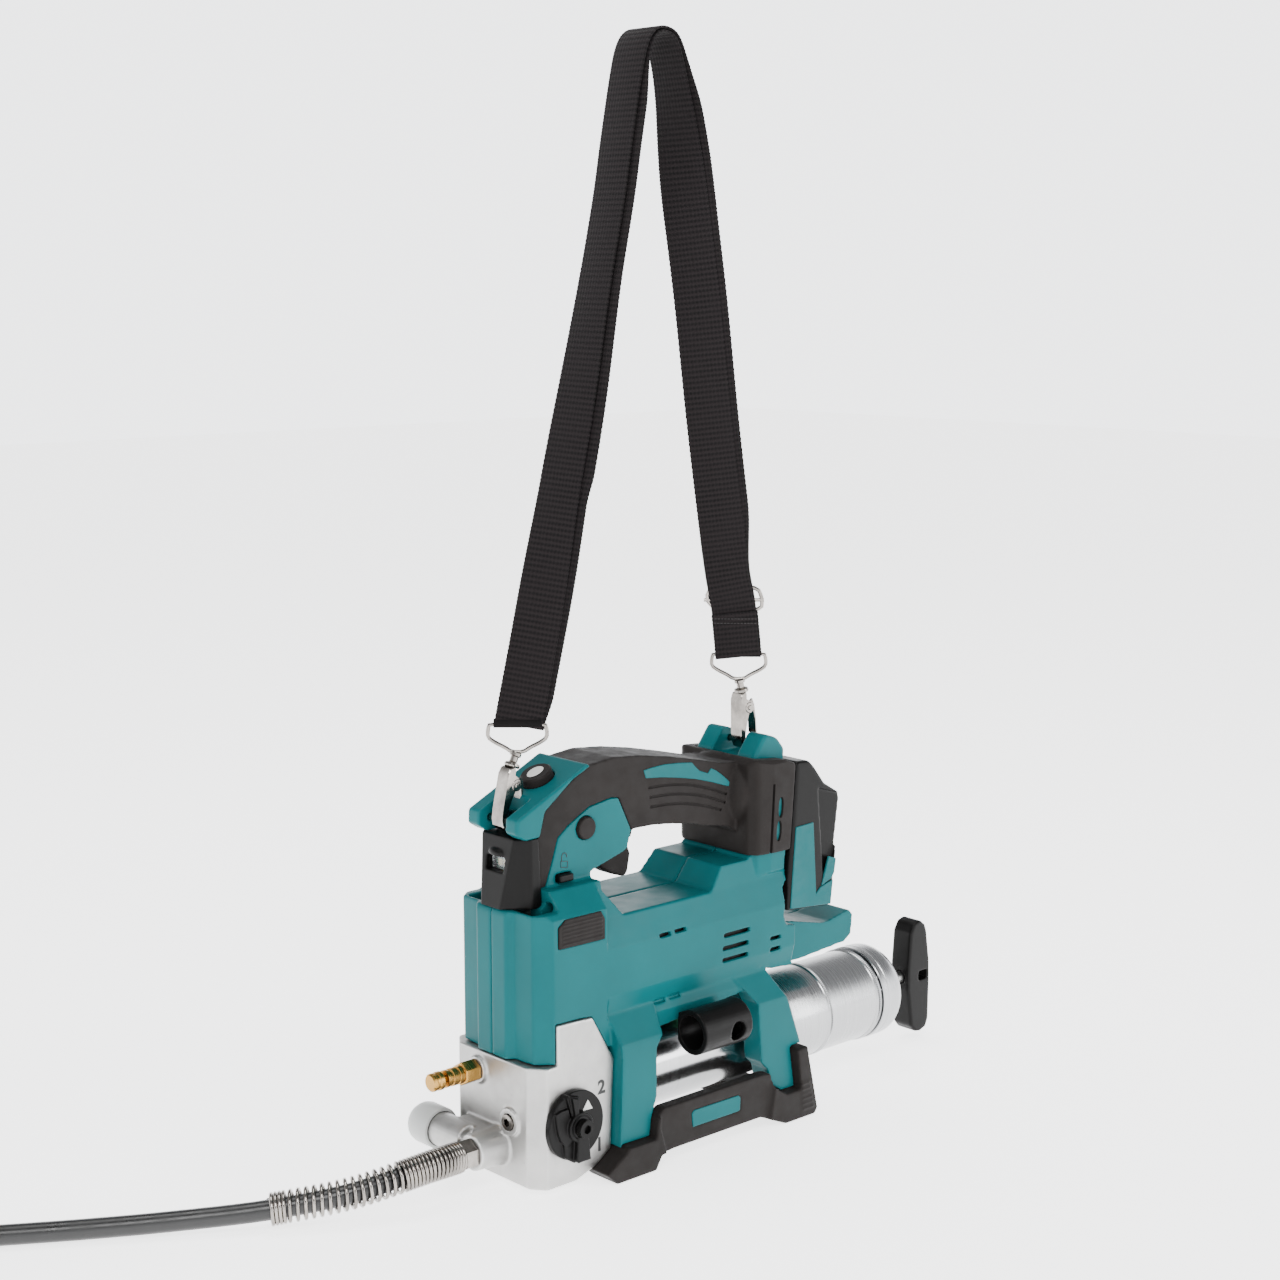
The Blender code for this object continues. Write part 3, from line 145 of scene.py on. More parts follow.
class Nodes:
    """A short way to write one material's node tree."""

    def __init__(self, name):
        self.material = bpy.data.materials.new(name)
        self.material.use_nodes = True
        self.tree = self.material.node_tree
        self.shader = self.tree.nodes["Principled BSDF"]
        self.coordinates = self.add("ShaderNodeTexCoord").outputs["Object"]

    def add(self, kind, **settings):
        node = self.tree.nodes.new(kind)
        for key, value in settings.items():
            setattr(node, key, value)
        return node

    def link(self, source, target):
        self.tree.links.new(source, target)

    def tuned(self, kind, inputs, **settings):
        """A node whose inputs are set to values or fed from sockets."""
        node = self.add(kind, **settings)
        for key, value in inputs.items():
            if isinstance(value, bpy.types.NodeSocket):
                self.link(value, node.inputs[key])
            else:
                node.inputs[key].default_value = value
        return node

    def stretched(self, scale):
        inputs = {"Scale": scale, "Vector": self.coordinates}
        return self.tuned("ShaderNodeMapping", inputs).outputs["Vector"]

    def noise(self, scale, detail=3.0, vector=None, roughness=0.55):
        vector = vector or self.coordinates
        inputs = {"Scale": scale, "Detail": detail, "Roughness": roughness, "Vector": vector}
        return self.tuned("ShaderNodeTexNoise", inputs).outputs["Fac"]

    def ramp(self, source, low, high, dark, light):
        node = self.add("ShaderNodeValToRGB")
        for element, position, colour in zip(node.color_ramp.elements, (low, high), (dark, light)):
            element.position = position
            element.color = (*colour, 1.0)
        self.link(source, node.inputs["Fac"])
        return node.outputs["Color"]

    def spread(self, source, low, high, start=0.3, end=0.7):
        inputs = {"From Min": start, "From Max": end, "To Min": low, "To Max": high, "Value": source}
        return self.tuned("ShaderNodeMapRange", inputs).outputs["Result"]

    def mix(self, factor, first, second):
        """The first socket's colour, which turns to the second colour as the factor rises."""
        inputs = {"Factor": factor, "A": first, "B": (*second, 1.0)}
        return self.tuned("ShaderNodeMix", inputs, data_type="RGBA").outputs["Result"]

    def bump(self, height, distance, strength=1.0, under=None):
        inputs = {"Distance": distance, "Strength": strength, "Height": height}
        if under:
            inputs["Normal"] = under
        return self.tuned("ShaderNodeBump", inputs).outputs["Normal"]

    def edges(self, low=0.52, high=0.60):
        """How much a point stands out as an edge, for wear."""
        pointiness = self.add("ShaderNodeNewGeometry").outputs["Pointiness"]
        return self.spread(pointiness, 0.0, 1.0, low, high)

    def feed(self, key, source):
        self.link(source, self.shader.inputs[key])

    def set(self, **values):
        for key, value in values.items():
            self.shader.inputs[key.replace("_", " ")].default_value = value


def shade(colour, factor):
    return tuple(min(c * factor, 1.0) for c in colour)


def plain(name, colour, roughness):
    made = Nodes(name)
    patches = made.ramp(made.noise(4.0), 0.3, 0.7, shade(colour, 0.985), colour)
    made.feed("Base Color", patches)
    made.set(Roughness=roughness)
    return made.material


def moulded_plastic(name, colour, roughness, grain=1500.0, depth=0.00002, wear=0.35):
    """Moulded plastic: a fine spark-eroded grain, faint flow marks, and edges rubbed a little paler."""
    made = Nodes(name)
    flow = made.ramp(made.noise(22.0, 4.0), 0.30, 0.72, shade(colour, 0.90), shade(colour, 1.08))
    paler = tuple(c + (0.2 - c) * 0.25 for c in colour)
    rubbed = made.add("ShaderNodeMath", operation="MULTIPLY")
    made.link(made.edges(), rubbed.inputs[0])
    made.link(made.spread(made.noise(160.0, 4.0), 0.0, wear), rubbed.inputs[1])
    made.feed("Base Color", made.mix(rubbed.outputs[0], flow, paler))
    made.feed("Roughness", made.spread(made.noise(90.0, 5.0), roughness - 0.05, roughness + 0.07))
    fine = made.bump(made.noise(grain, 2.0), depth)
    made.feed("Normal", made.bump(made.noise(55.0, 2.0), 0.00012, 0.25, fine))
    made.set(Specular_IOR_Level=0.10)
    return made.material


def soft_rubber(name, colour):
    """Overmoulded rubber: matt, finely pitted, with a little dust in the hollows."""
    made = Nodes(name)
    flow = made.ramp(made.noise(30.0, 5.0), 0.3, 0.7, shade(colour, 0.82), shade(colour, 1.22))
    specks = made.spread(made.noise(700.0, 2.0), 0.0, 0.5, 0.70, 0.80)
    dusty = made.mix(specks, flow, shade(colour, 2.6))
    made.feed("Base Color", dusty)
    made.feed("Roughness", made.spread(made.noise(120.0, 5.0), 0.50, 0.70))
    made.feed("Normal", made.bump(made.noise(1900.0, 2.0), 0.00004))
    made.set(Sheen_Weight=0.02, Sheen_Roughness=0.5, Specular_IOR_Level=0.10)
    return made.material


def cast_aluminium():
    """Sand-cast and blasted: a bright satin skin with pits and a few darker flow patches."""
    made = Nodes("cast_aluminium")
    colour = (0.40, 0.395, 0.385)
    patches = made.ramp(made.noise(26.0, 6.0), 0.28, 0.72, shade(colour, 0.82), shade(colour, 1.08))
    edge = made.mix(made.edges(0.51, 0.58), patches, (0.62, 0.62, 0.61))
    pits = made.spread(made.noise(420.0, 3.0), 0.0, 0.6, 0.66, 0.78)
    made.feed("Base Color", made.mix(pits, edge, (0.24, 0.235, 0.23)))
    made.feed("Roughness", made.spread(made.noise(140.0, 6.0), 0.36, 0.52))
    cast = made.bump(made.noise(380.0, 4.0), 0.00010, 0.6)
    made.feed("Normal", made.bump(made.noise(1800.0, 2.0), 0.00005, 0.7, cast))
    made.set(Metallic=1.0)
    return made.material


def turned_metal(name, colour, roughness, axis_scale, depth=0.00002, swirl=0.06):
    """Metal with fine lines round an axis, from drawing or turning; axis_scale is large along that axis."""
    made = Nodes(name)
    vector = made.stretched(axis_scale)
    lines = made.noise(1.0, 4.0, vector, 0.7)
    tone = made.ramp(lines, 0.3, 0.7, shade(colour, 0.86), shade(colour, 1.06))
    stains = made.spread(made.noise(18.0, 5.0), 0.0, 0.22, 0.45, 0.75)
    made.feed("Base Color", made.mix(stains, tone, shade(colour, 0.78)))
    made.feed("Roughness", made.spread(lines, roughness - swirl, roughness + swirl))
    made.feed("Normal", made.bump(lines, depth))
    made.set(Metallic=1.0)
    return made.material


def plated_metal(name, colour, roughness):
    """Nickel or chrome plate: soft waves from polishing, hairline scratches and dulled recesses."""
    made = Nodes(name)
    dull = made.ramp(made.noise(90.0, 5.0), 0.32, 0.72, shade(colour, 0.62), shade(colour, 1.25))
    made.feed("Base Color", dull)
    scratches = made.noise(1.0, 3.0, made.stretched((900.0, 260.0, 90.0)), 0.8)
    made.feed("Roughness", made.spread(scratches, roughness * 0.6, roughness * 1.5))
    waves = made.bump(made.noise(240.0, 2.0), 0.00008, 0.35)
    made.feed("Normal", made.bump(scratches, 0.00001, 1.0, waves))
    made.set(Metallic=1.0)
    return made.material


def webbing(name, ribs):
    """Woven webbing: ribs across the band, made of twisted threads. Its map counts millimetres."""
    made = Nodes(name)
    uv = made.add("ShaderNodeUVMap", uv_map="weave").outputs["UV"]
    inputs = {"Scale": ribs, "Distortion": 0.35, "Detail Scale": 3.0, "Vector": uv}
    rows = made.tuned("ShaderNodeTexWave", inputs, wave_type="BANDS", bands_direction="Y")
    inputs = {"Scale": ribs * 1.4, "Distortion": 1.2, "Vector": uv}
    threads = made.tuned("ShaderNodeTexWave", inputs, wave_type="BANDS", bands_direction="X")
    both = made.add("ShaderNodeMath", operation="MULTIPLY_ADD")
    made.link(threads.outputs["Fac"], both.inputs[0])
    both.inputs[1].default_value = 0.45
    made.link(rows.outputs["Fac"], both.inputs[2])
    tone = made.ramp(both.outputs[0], 0.15, 1.2, (0.0012, 0.0010, 0.0011), (0.0085, 0.0064, 0.0068))
    worn = made.spread(made.noise(45.0, 5.0), 0.0, 0.4)
    made.feed("Base Color", made.mix(worn, tone, (0.0075, 0.0058, 0.0062)))
    made.feed("Normal", made.bump(both.outputs[0], 0.00028))
    made.set(Roughness=0.85, Sheen_Weight=0.02, Sheen_Roughness=0.45, Specular_IOR_Level=0.12)
    return made.material


def hose_skin():
    made = Nodes("hose_skin")
    tone = made.ramp(made.noise(40.0, 4.0), 0.3, 0.7, (0.002, 0.002, 0.002), (0.005, 0.0048, 0.0048))
    made.feed("Base Color", tone)
    made.feed("Roughness", made.spread(made.noise(110.0, 4.0), 0.24, 0.40))
    made.feed("Normal", made.bump(made.noise(500.0, 3.0), 0.00006, 0.5))
    return made.material


def clear_plastic(name, colour, transmission, roughness):
    made = Nodes(name)
    tone = made.ramp(made.noise(60.0, 3.0), 0.3, 0.7, shade(colour, 0.93), colour)
    made.feed("Base Color", tone)
    made.feed("Roughness", made.spread(made.noise(200.0, 3.0), roughness, roughness + 0.12))
    made.feed("Normal", made.bump(made.noise(300.0, 2.0), 0.00004, 0.4))
    made.set(Transmission_Weight=transmission, IOR=1.5)
    return made.material


def circuit_board():
    made = Nodes("circuit_board")
    inputs = {"Scale": 260.0, "Vector": made.coordinates}
    cells = made.tuned("ShaderNodeTexVoronoi", inputs, distance="CHEBYCHEV")
    tracks = made.ramp(cells.outputs["Distance"], 0.28, 0.34, (0.02, 0.20, 0.08), (0.01, 0.09, 0.04))
    made.feed("Base Color", tracks)
    made.feed("Normal", made.bump(cells.outputs["Distance"], 0.0001))
    made.set(Roughness=0.4)
    return made.material


def make_materials():
    return {
        "teal": moulded_plastic("teal_plastic", (0.0, 0.074, 0.081), 0.34),
        "rubber": soft_rubber("overmould_rubber", (0.0088, 0.0072, 0.0066)),
        "black": moulded_plastic("black_plastic", (0.0030, 0.0028, 0.0027), 0.34, 1700.0, 0.00003, 0.03),
        "aluminium": cast_aluminium(),
        "polished": turned_metal("drawn_tube", (0.44, 0.445, 0.45), 0.17, (2600.0, 14.0, 14.0), 0.000008),
        "zinc": turned_metal("brushed_zinc", (0.40, 0.405, 0.41), 0.24, (3200.0, 10.0, 10.0), 0.00003, 0.1),
        "nickel": plated_metal("nickel_plate", (0.27, 0.25, 0.23), 0.13),
        "steel": turned_metal("ground_steel", (0.42, 0.42, 0.41), 0.30, (1500.0, 200.0, 200.0)),
        "brass": turned_metal("turned_brass", (0.42, 0.235, 0.06), 0.24, (2400.0, 60.0, 60.0), 0.00003),
        "copper": turned_metal("copper_winding", (0.72, 0.33, 0.15), 0.35, (60.0, 900.0, 900.0), 0.0001),
        "white": clear_plastic("milky_plastic", (0.42, 0.43, 0.42), 0.05, 0.28),
        "lens": clear_plastic("clear_lens", (0.95, 0.97, 1.0), 0.95, 0.04),
        "print": plain("white_print", (0.50, 0.50, 0.48), 0.45),
        "ink": plain("black_print", (0.004, 0.004, 0.004), 0.5),
        # painted shade: a near-black finish for the sheets behind the cooling slots
        "dark": plain("painted_shade_black", (0.002, 0.002, 0.002), 0.7),
        "led": plain("led_phosphor", (0.45, 0.38, 0.12), 0.35),
        "hose": hose_skin(),
        "webbing": webbing("strap_webbing", 0.095),
        "thread": plain("sewing_thread", (0.012, 0.010, 0.010), 0.8),
        "board": circuit_board(),
    }


# ---- modelling tools

def link(obj):
    bpy.context.scene.collection.objects.link(obj)
    return obj


def finished(obj, look, body=TOOL, replaced=(), angle=32):
    """Gives a piece its material, that material's slot and the body that it rides on."""
    if obj.type == "MESH":
        obj.data.shade_smooth()
        obj.data.set_sharp_from_angle(angle=math.radians(angle))
    obj.data.materials.clear()
    obj.data.materials.append(MATERIALS[look])
    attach(obj, body)
    for node in replaced:
        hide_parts(node)
    return obj


def from_bmesh(name, bm, matrix=None):
    """An object in the frame's metres, from a mesh drawn in the design frame's millimetres."""
    mesh = bpy.data.meshes.new(name)
    bm.to_mesh(mesh)
    bm.free()
    mesh.transform(TO_FRAME @ (matrix or Matrix()))
    return link(bpy.data.objects.new(name, mesh))


def turn_to(direction):
    return Vector(direction).to_track_quat("Z", "Y").to_matrix().to_4x4()


def block(name, low, high):
    bm = bmesh.new()
    bmesh.ops.create_cube(bm, size=1.0)
    size = [b - a for a, b in zip(low, high)]
    middle = [(a + b) / 2 for a, b in zip(low, high)]
    return from_bmesh(name, bm, Matrix.Translation(middle) @ Matrix.Diagonal((*size, 1.0)))


def rod(name, start, end, radius, sides=48):
    start, end = Vector(start), Vector(end)
    bm = bmesh.new()
    depth = (end - start).length
    bmesh.ops.create_cone(bm, cap_ends=True, segments=sides, radius1=radius, radius2=radius, depth=depth)
    return from_bmesh(name, bm, Matrix.Translation((start + end) / 2) @ turn_to(end - start))


def ball(name, centre, radii):
    bm = bmesh.new()
    bmesh.ops.create_uvsphere(bm, u_segments=32, v_segments=16, radius=1.0)
    return from_bmesh(name, bm, Matrix.Translation(centre) @ Matrix.Diagonal((*radii, 1.0)))


def turned(name, profile, base, axis, steps=96):
    """A profile of (radius, height) pairs, turned about an axis through base."""
    bm = bmesh.new()
    rings = []
    for radius, height in profile:
        if radius < 1e-6:
            rings.append([bm.verts.new((0, 0, height))])
            continue
        turns = [2 * math.pi * i / steps for i in range(steps)]
        rings.append([bm.verts.new((radius * math.cos(a), radius * math.sin(a), height)) for a in turns])
    for first, second in zip(rings, rings[1:]):
        for i in range(steps):
            j = (i + 1) % steps
            corners = [first[i % len(first)], first[j % len(first)], second[j % len(second)],
                       second[i % len(second)]]
            unique = list(dict.fromkeys(corners))
            if len(unique) > 2:
                bm.faces.new(unique)
    bmesh.ops.recalc_face_normals(bm, faces=bm.faces)
    return from_bmesh(name, bm, Matrix.Translation(base) @ turn_to(axis))


PLANES = {
    "XZ": Matrix(((1, 0, 0, 0), (0, 0, -1, 0), (0, 1, 0, 0), (0, 0, 0, 1))),
    "YZ": Matrix(((0, 0, 1, 0), (1, 0, 0, 0), (0, 1, 0, 0), (0, 0, 0, 1))),
}
SIGN = {"XZ": -1, "YZ": 1}
SIDES = ((-1, "left"), (1, "right"))


def slab(name, outline, low, high, plane="XZ"):
    """A flat outline in one plane, filled between two heights along the plane's own axis."""
    bm = bmesh.new()
    verts = [bm.verts.new((u, v, 0.0)) for u, v in outline]
    face = bm.faces.new(verts)
    moved = bmesh.ops.extrude_face_region(bm, geom=[face])["geom"]
    upper = [v for v in moved if isinstance(v, bmesh.types.BMVert)]
    bmesh.ops.translate(bm, verts=upper, vec=(0, 0, high - low))
    bmesh.ops.recalc_face_normals(bm, faces=bm.faces)
    base = low if SIGN[plane] > 0 else -high
    return from_bmesh(name, bm, PLANES[plane] @ Matrix.Translation((0, 0, base)))


def side_slab(name, outline, sign, near, far):
    """A slab on one side of the tool, between two distances from its middle plane."""
    low, high = sorted((sign * near, sign * far))
    return slab(name, outline, low, high)


def rounded(outline):
    """The closed outline with its corners cut smooth."""
    for _ in range(2):
        softer = []
        for (u, v), (s, t) in zip(outline, outline[1:] + outline[:1]):
            softer.append((u * 0.75 + s * 0.25, v * 0.75 + t * 0.25))
            softer.append((u * 0.25 + s * 0.75, v * 0.25 + t * 0.75))
        outline = softer
    return outline


def smooth_path(route, spacing):
    """Points about one spacing apart on a smooth curve through the route's own points."""
    route = [Vector(p) for p in route]
    route = [2 * route[0] - route[1]] + route + [2 * route[-1] - route[-2]]
    fine = []
    for a, b, c, d in zip(route, route[1:], route[2:], route[3:]):
        for i in range(40):
            t = i / 40
            square = (2 * a - 5 * b + 4 * c - d) * t**2
            cube = (3 * b - a - 3 * c + d) * t**3
            fine.append(0.5 * (2 * b + (c - a) * t + square + cube))
    fine.append(route[-2])
    length = sum((q - p).length for p, q in zip(fine, fine[1:]))
    steps = max(round(length / spacing), 1)
    points, walked, wanted = [fine[0]], 0.0, length / steps
    for p, q in zip(fine, fine[1:]):
        walked += (q - p).length
        if walked >= wanted - 1e-6 and len(points) < steps:
            points.append(q)
            wanted += length / steps
    return points + [fine[-1]]


def heading(points, i):
    return (points[min(i + 1, len(points) - 1)] - points[max(i - 1, 0)]).normalized()


def loft(bm, rings):
    """Skins the rings of a bar, closes its ends, and lists the side faces with their ring and corners."""
    sides = []
    corners = len(rings[0])
    for i, (first, second) in enumerate(zip(rings, rings[1:])):
        for j in range(corners):
            k = (j + 1) % corners
            sides.append((bm.faces.new((first[j], first[k], second[k], second[j])), i, j, k))
    bm.faces.new(rings[0][::-1])
    bm.faces.new(rings[-1])
    return sides


def wire(name, points, radius, cyclic=False, resolution=4):
    """A round bar along points."""
    curve = bpy.data.curves.new(name, "CURVE")
    curve.dimensions = "3D"
    curve.bevel_depth = radius * MM
    curve.bevel_resolution = resolution
    curve.use_fill_caps = not cyclic
    spline = curve.splines.new("POLY")
    spline.points.add(len(points) - 1)
    for point, at in zip(spline.points, points):
        point.co = (*place(*at), 1.0)
    spline.use_cyclic_u = cyclic
    spline.use_smooth = True
    return link(bpy.data.objects.new(name, curve))


def as_mesh(obj):
    """The object's evaluated mesh as a mesh object of its own, which takes the old one's place."""
    bpy.context.view_layer.update()
    graph = bpy.context.evaluated_depsgraph_get()
    mesh = bpy.data.meshes.new_from_object(obj.evaluated_get(graph))
    mesh.transform(obj.matrix_world)
    name = obj.name
    bpy.data.objects.remove(obj, do_unlink=True)
    return link(bpy.data.objects.new(name, mesh))


def welded(obj):
    bm = bmesh.new()
    bm.from_mesh(obj.data)
    bmesh.ops.remove_doubles(bm, verts=bm.verts, dist=0.000002)
    bm.to_mesh(obj.data)
    bm.free()
    return obj


def joined(name, pieces):
    """One mesh object holding all the pieces, which may overlap."""
    bm = bmesh.new()
    for piece in pieces:
        if piece.type != "MESH" or piece.modifiers:
            piece = as_mesh(piece)
        bm.from_mesh(piece.data)
        bpy.data.objects.remove(piece, do_unlink=True)
    mesh = bpy.data.meshes.new(name)
    bm.to_mesh(mesh)
    bm.free()
    return link(bpy.data.objects.new(name, mesh))


def copy_of(node, name):
    """A loose copy of a CAD node's mesh."""
    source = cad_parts[node]
    mesh = source.data.copy()
    mesh.transform(source.matrix_world)
    return welded(link(bpy.data.objects.new(name, mesh)))


def cut(obj, cutters):
    """Cuts the cutters away and removes them."""
    for cutter in cutters:
        modifier = obj.modifiers.new("Cut", "BOOLEAN")
        modifier.operation = "DIFFERENCE"
        modifier.solver = "MANIFOLD"
        modifier.object = cutter
    obj = as_mesh(obj)
    for cutter in cutters:
        bpy.data.objects.remove(cutter, do_unlink=True)
    return obj


def melted(obj, voxel, rounds, ratio, cutters=()):
    """The object as one soft-edged skin. What the cutters take away leaves sharp edges."""
    remesh = obj.modifiers.new("Remesh", "REMESH")
    remesh.mode = "VOXEL"
    remesh.voxel_size = voxel * MM
    smooth = obj.modifiers.new("Smooth", "SMOOTH")
    smooth.factor = 0.5
    smooth.iterations = rounds
    obj = as_mesh(obj)
    if cutters:
        obj = cut(obj, cutters)
    decimate = obj.modifiers.new("Decimate", "DECIMATE")
    decimate.ratio = ratio
    return as_mesh(obj)


def moulding(name, node, look, voxel, rounds, ratio, extras=(), cutters=(), body=TOOL):
    """Stands for a CAD node: its shape with soft edges, raised details melted in and others cut."""
    solid = joined(name, [copy_of(node, name + "_base"), *extras])
    finished(melted(solid, voxel, rounds, ratio, cutters), look, body=body, replaced=[node])


def bevelled(obj, width, segments=2):
    modifier = obj.modifiers.new("Bevel", "BEVEL")
    modifier.width = width * MM
    modifier.segments = segments
    return modifier


def soften(node, width):
    """Rounds a plain CAD node's edges as it stands."""
    modifier = bevelled(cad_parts[node], width)
    modifier.limit_method = "ANGLE"
    modifier.angle_limit = math.radians(35)


# ---- hose

HOSE_ROUTE = [
    (-30.3, -5.0, 25.0), (-54.0, -5.0, 25.0), (-98.0, 9.0, 17.5), (-138.5, 33.0, 11.5), (-180.0, 60.0, 8.6),
    (-222.0, 88.0, 7.0), (-264.6, 116.0, 6.6), (-305.7, 142.7, 6.6),
]
COIL_CENTRE = Vector((-386.9, 102.3, 0.0))
COIL_OUTER, COIL_INNER = 78.0, 66.0
COIL_START = 57.0
COIL_END = 665.9
LEAD_IN = 47.96
LEAD_IN_SWEEP = 94.1
LEAD_IN_STEPS = 18
LEAD_IN_RISE = 1.6
COIL_Z = 6.6


def polar(centre, radius, degrees, z):
    a = math.radians(degrees)
    return Vector((centre.x + radius * math.cos(a), centre.y + radius * math.sin(a), z))


def coil_radius(swept):
    """The outer turn, then an easy step in by one hose before it closes, then the inner turn."""
    t = min(max((swept - 230) / 120, 0.0), 1.0)
    return COIL_OUTER + (COIL_INNER - COIL_OUTER) * (3 * t * t - 2 * t**3)


def hose_points():
    points = smooth_path(HOSE_ROUTE + [polar(COIL_CENTRE, COIL_OUTER, COIL_START, COIL_Z)], 9.0)
    step = 5.0
    turns = round((COIL_END - COIL_START) / step)
    for i in range(1, turns + 1):
        swept = (COIL_END - COIL_START) * i / turns
        points.append(polar(COIL_CENTRE, coil_radius(swept), COIL_START + swept, COIL_Z))
    centre = polar(COIL_CENTRE, COIL_INNER - LEAD_IN, COIL_END, 0.0)
    for i in range(1, LEAD_IN_STEPS + 1):
        share = i / LEAD_IN_STEPS
        z = COIL_Z + LEAD_IN_RISE * share
        points.append(polar(centre, LEAD_IN, COIL_END + LEAD_IN_SWEEP * share, z))
    return points


def hose():
    points = hose_points()
    line = wire("hose_line", points, HOSE_R, resolution=6)
    line.data.materials.append(MATERIALS["hose"])
    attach(line, TOOL)
    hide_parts("hose", "hose_coil")
    guard = spring_guard()


def spring_guard():
    """The guard's wire: tight turns at the fitting, open turns along the bend, tight turns at the end."""
    path = smooth_path(HOSE_ROUTE[:4], 0.5)
    length = sum((q - p).length for p, q in zip(path, path[1:]))
    tight, tail, close, open_pitch = 40.0, 10.0, 2.35, 4.6
    points, walked, turn = [], 0.0, 0.0
    up = Vector((0, 0, 1))
    steps_per_turn = 16
    reached = 0.0
    for p, q in zip(path, path[1:]):
        walked += (q - p).length
        along = (q - p).normalized()
        side = along.cross(up).normalized()
        over = side.cross(along)
        while reached <= walked:
            pitch = close if reached < tight or reached > length - tail else open_pitch
            angle = 2 * math.pi * turn
            middle = q - along * (walked - reached)
            points.append(middle + (side * math.cos(angle) + over * math.sin(angle)) * GUARD_COIL_R)
            turn += 1 / steps_per_turn
            reached += pitch / steps_per_turn
    guard = wire("guard_wire", points, GUARD_WIRE, resolution=3)
    return finished(guard, "nickel", replaced=["spring_guard"])


# ---- casing

def casing():
    for sign, side in SIDES:
        fill, slots = casing_fill(side, sign), vents(side, sign)
        moulding(f"{side}_casing", f"{side}_housing", "teal", 0.9, 4, 0.35, fill, slots)
        # painted shade: dark sheets behind the cooling slots
        painted_vent_shade(side, sign)
        moulding(f"{side}_pad", f"{side}_side_pad", "rubber", 0.5, 2, 0.6, pad_ribs(side, sign))
        moulding(f"{side}_bar_badge", f"{side}_bar_inlay", "teal", 0.4, 2, 0.5)


def casing_fill(side, sign):
    """The shoulder that carries the head: it closes on the soft cover and on the lamp housing."""
    outline = [(19.0, 162), (19.0, 171.8), (22.6, 174.6), (27.0, 182.6), (61.8, 182.6), (61.8, 162)]
    return [side_slab(f"{side}_shoulder", outline, sign, 14.0, 24.6)]


def vents(side, sign):
    """The cooling slots, cut sharp through the finished skin."""
    slots = [(156, 131.5, 23), (155, 123.0, 23), (154.5, 115.5, 23)]
    slots += [(x, z, VENT_PAIR_LENGTH) for x, z in VENT_PAIRS]
    low, high = sorted((sign * 37.0, sign * 46.0))
    return [
        block(f"{side}_vent_{i}", (x, low, z - VENT_HALF), (x + length, high, z + VENT_HALF))
        for i, (x, z, length) in enumerate(slots)
    ]


def painted_vent_shade(side, sign):
    """Dark sheets just inside the cooling slots: painted shade that stands for the dark inside of the tool.
    """
    low, high = sorted((sign * 35.3, sign * 36.0))
    areas = (((94, 110), (184, 147)), ((94, 96.5), (123, 104.5)), ((195, 109.5), (211, 125.5)))
    shade_sheets = [
        block(f"{side}_screen_{i}", (a[0], low, a[1]), (b[0], high, b[1])) for i, (a, b) in enumerate(areas)
    ]
    # the sheets take the near-black painted-shade finish
    finished(joined(f"{side}_vent_shade_backing", shade_sheets), "dark")


def pad_ribs(side, sign):
    y = sign * 41.3
    heights = [153.0 + 2.4 * i for i in range(6)]
    return [rod(f"{side}_rib_{i}", (21.5, y, z), (52.5, y, z), 0.55, 12) for i, z in enumerate(heights)]


GRIP_RIBS = [
    [(109.6, 231.1), (127, 230.4), (145, 227.6), (162, 222.6), (177.8, 216.4)],
    [(110.7, 224.9), (128, 224.2), (145, 221.6), (161, 217.2), (176.7, 211.1)],
    [(111.2, 218.7), (128, 218.0), (144, 215.6), (160, 211.4), (173.3, 206.8)],
]


def grip():
    """The overmould, with three fine grooves each side, the column's long groove and its two slots."""
    cutters = []
    root = ball("handle_root", (188.5, 0.0, 216.0), (12.5, 31.0, 24.0))
    for sign in (-1, 1):
        bevel = [(sign * 32.9, 240.0), (sign * 39.2, 233.7), (sign * 39.2, 250.0), (sign * 32.9, 250.0)]
        cutters.append(slab(f"column_bevel_{sign}", bevel, 178.0, 236.0, "YZ"))
        for i, line in enumerate(GRIP_RIBS):
            route = smooth_path([(x, sign * 19.9, z) for x, z in line], 3.0)
            cutters.append(welded(as_mesh(wire(f"grip_groove_{sign}_{i}", route, 1.0, resolution=2))))
        groove = [(202.2, 222), (204.0, 222), (201.6, 171), (199.6, 171)]
        cutters.append(side_slab(f"column_groove_{sign}", groove, sign, 35.5, 38.4))
        for i, (x, z) in enumerate(((209.2, 205.8), (207.6, 190.5))):
            slot = rounded([(x - 2.4, z - 6.8), (x + 2.0, z - 6.8), (x + 2.8, z + 6.8), (x - 1.6, z + 6.8)])
            cutters.append(side_slab(f"column_slot_{sign}_{i}", slot, sign, 35.5, 38.4))
    moulding("grip_overmould", "grip_cover", "rubber", 0.9, 7, 0.4, [root], cutters)
    for sign, side in SIDES:
        outline = [
            (105.5, 242.8), (113, 243.6), (123, 244.0), (135, 243.2), (146.6, 241.8), (150.2, 238.2),
            (153.4, 235.5), (160.7, 232.7), (163.5, 235.6), (168.5, 233.2), (173.1, 230.0), (178, 226.2),
            (181.8, 222.4), (180.7, 220.9), (165.2, 226.2), (150, 230.6), (134.0, 233.9), (120, 236.2),
            (107.4, 237.5),
        ]
        inlay = side_slab(f"{side}_grip_inlay", outline, sign, 17.0, 20.5)
        bevelled(inlay, 0.4)
        finished(inlay, "teal")
        liner = [(204.2, 182), (210.2, 182), (212.8, 214), (206.6, 214)]
        finished(side_slab(f"{side}_slot_liner", liner, sign, 34.0, 36.2), "teal")


def base():
    ribs = []
    for sign in (-1, 1):
        for i in range(6):
            z = 6.5 + 3.4 * i
            y = sign * 55.9
            ends = (213.5 - 0.3 * i, y, z), (224.0 - 0.8 * i, y, z)
            ribs.append(rod(f"foot_rib_{sign}_{i}", *ends, 1.0, 10))
    moulding("base_overmould", "base_guard", "rubber", 0.9, 6, 0.4, ribs)


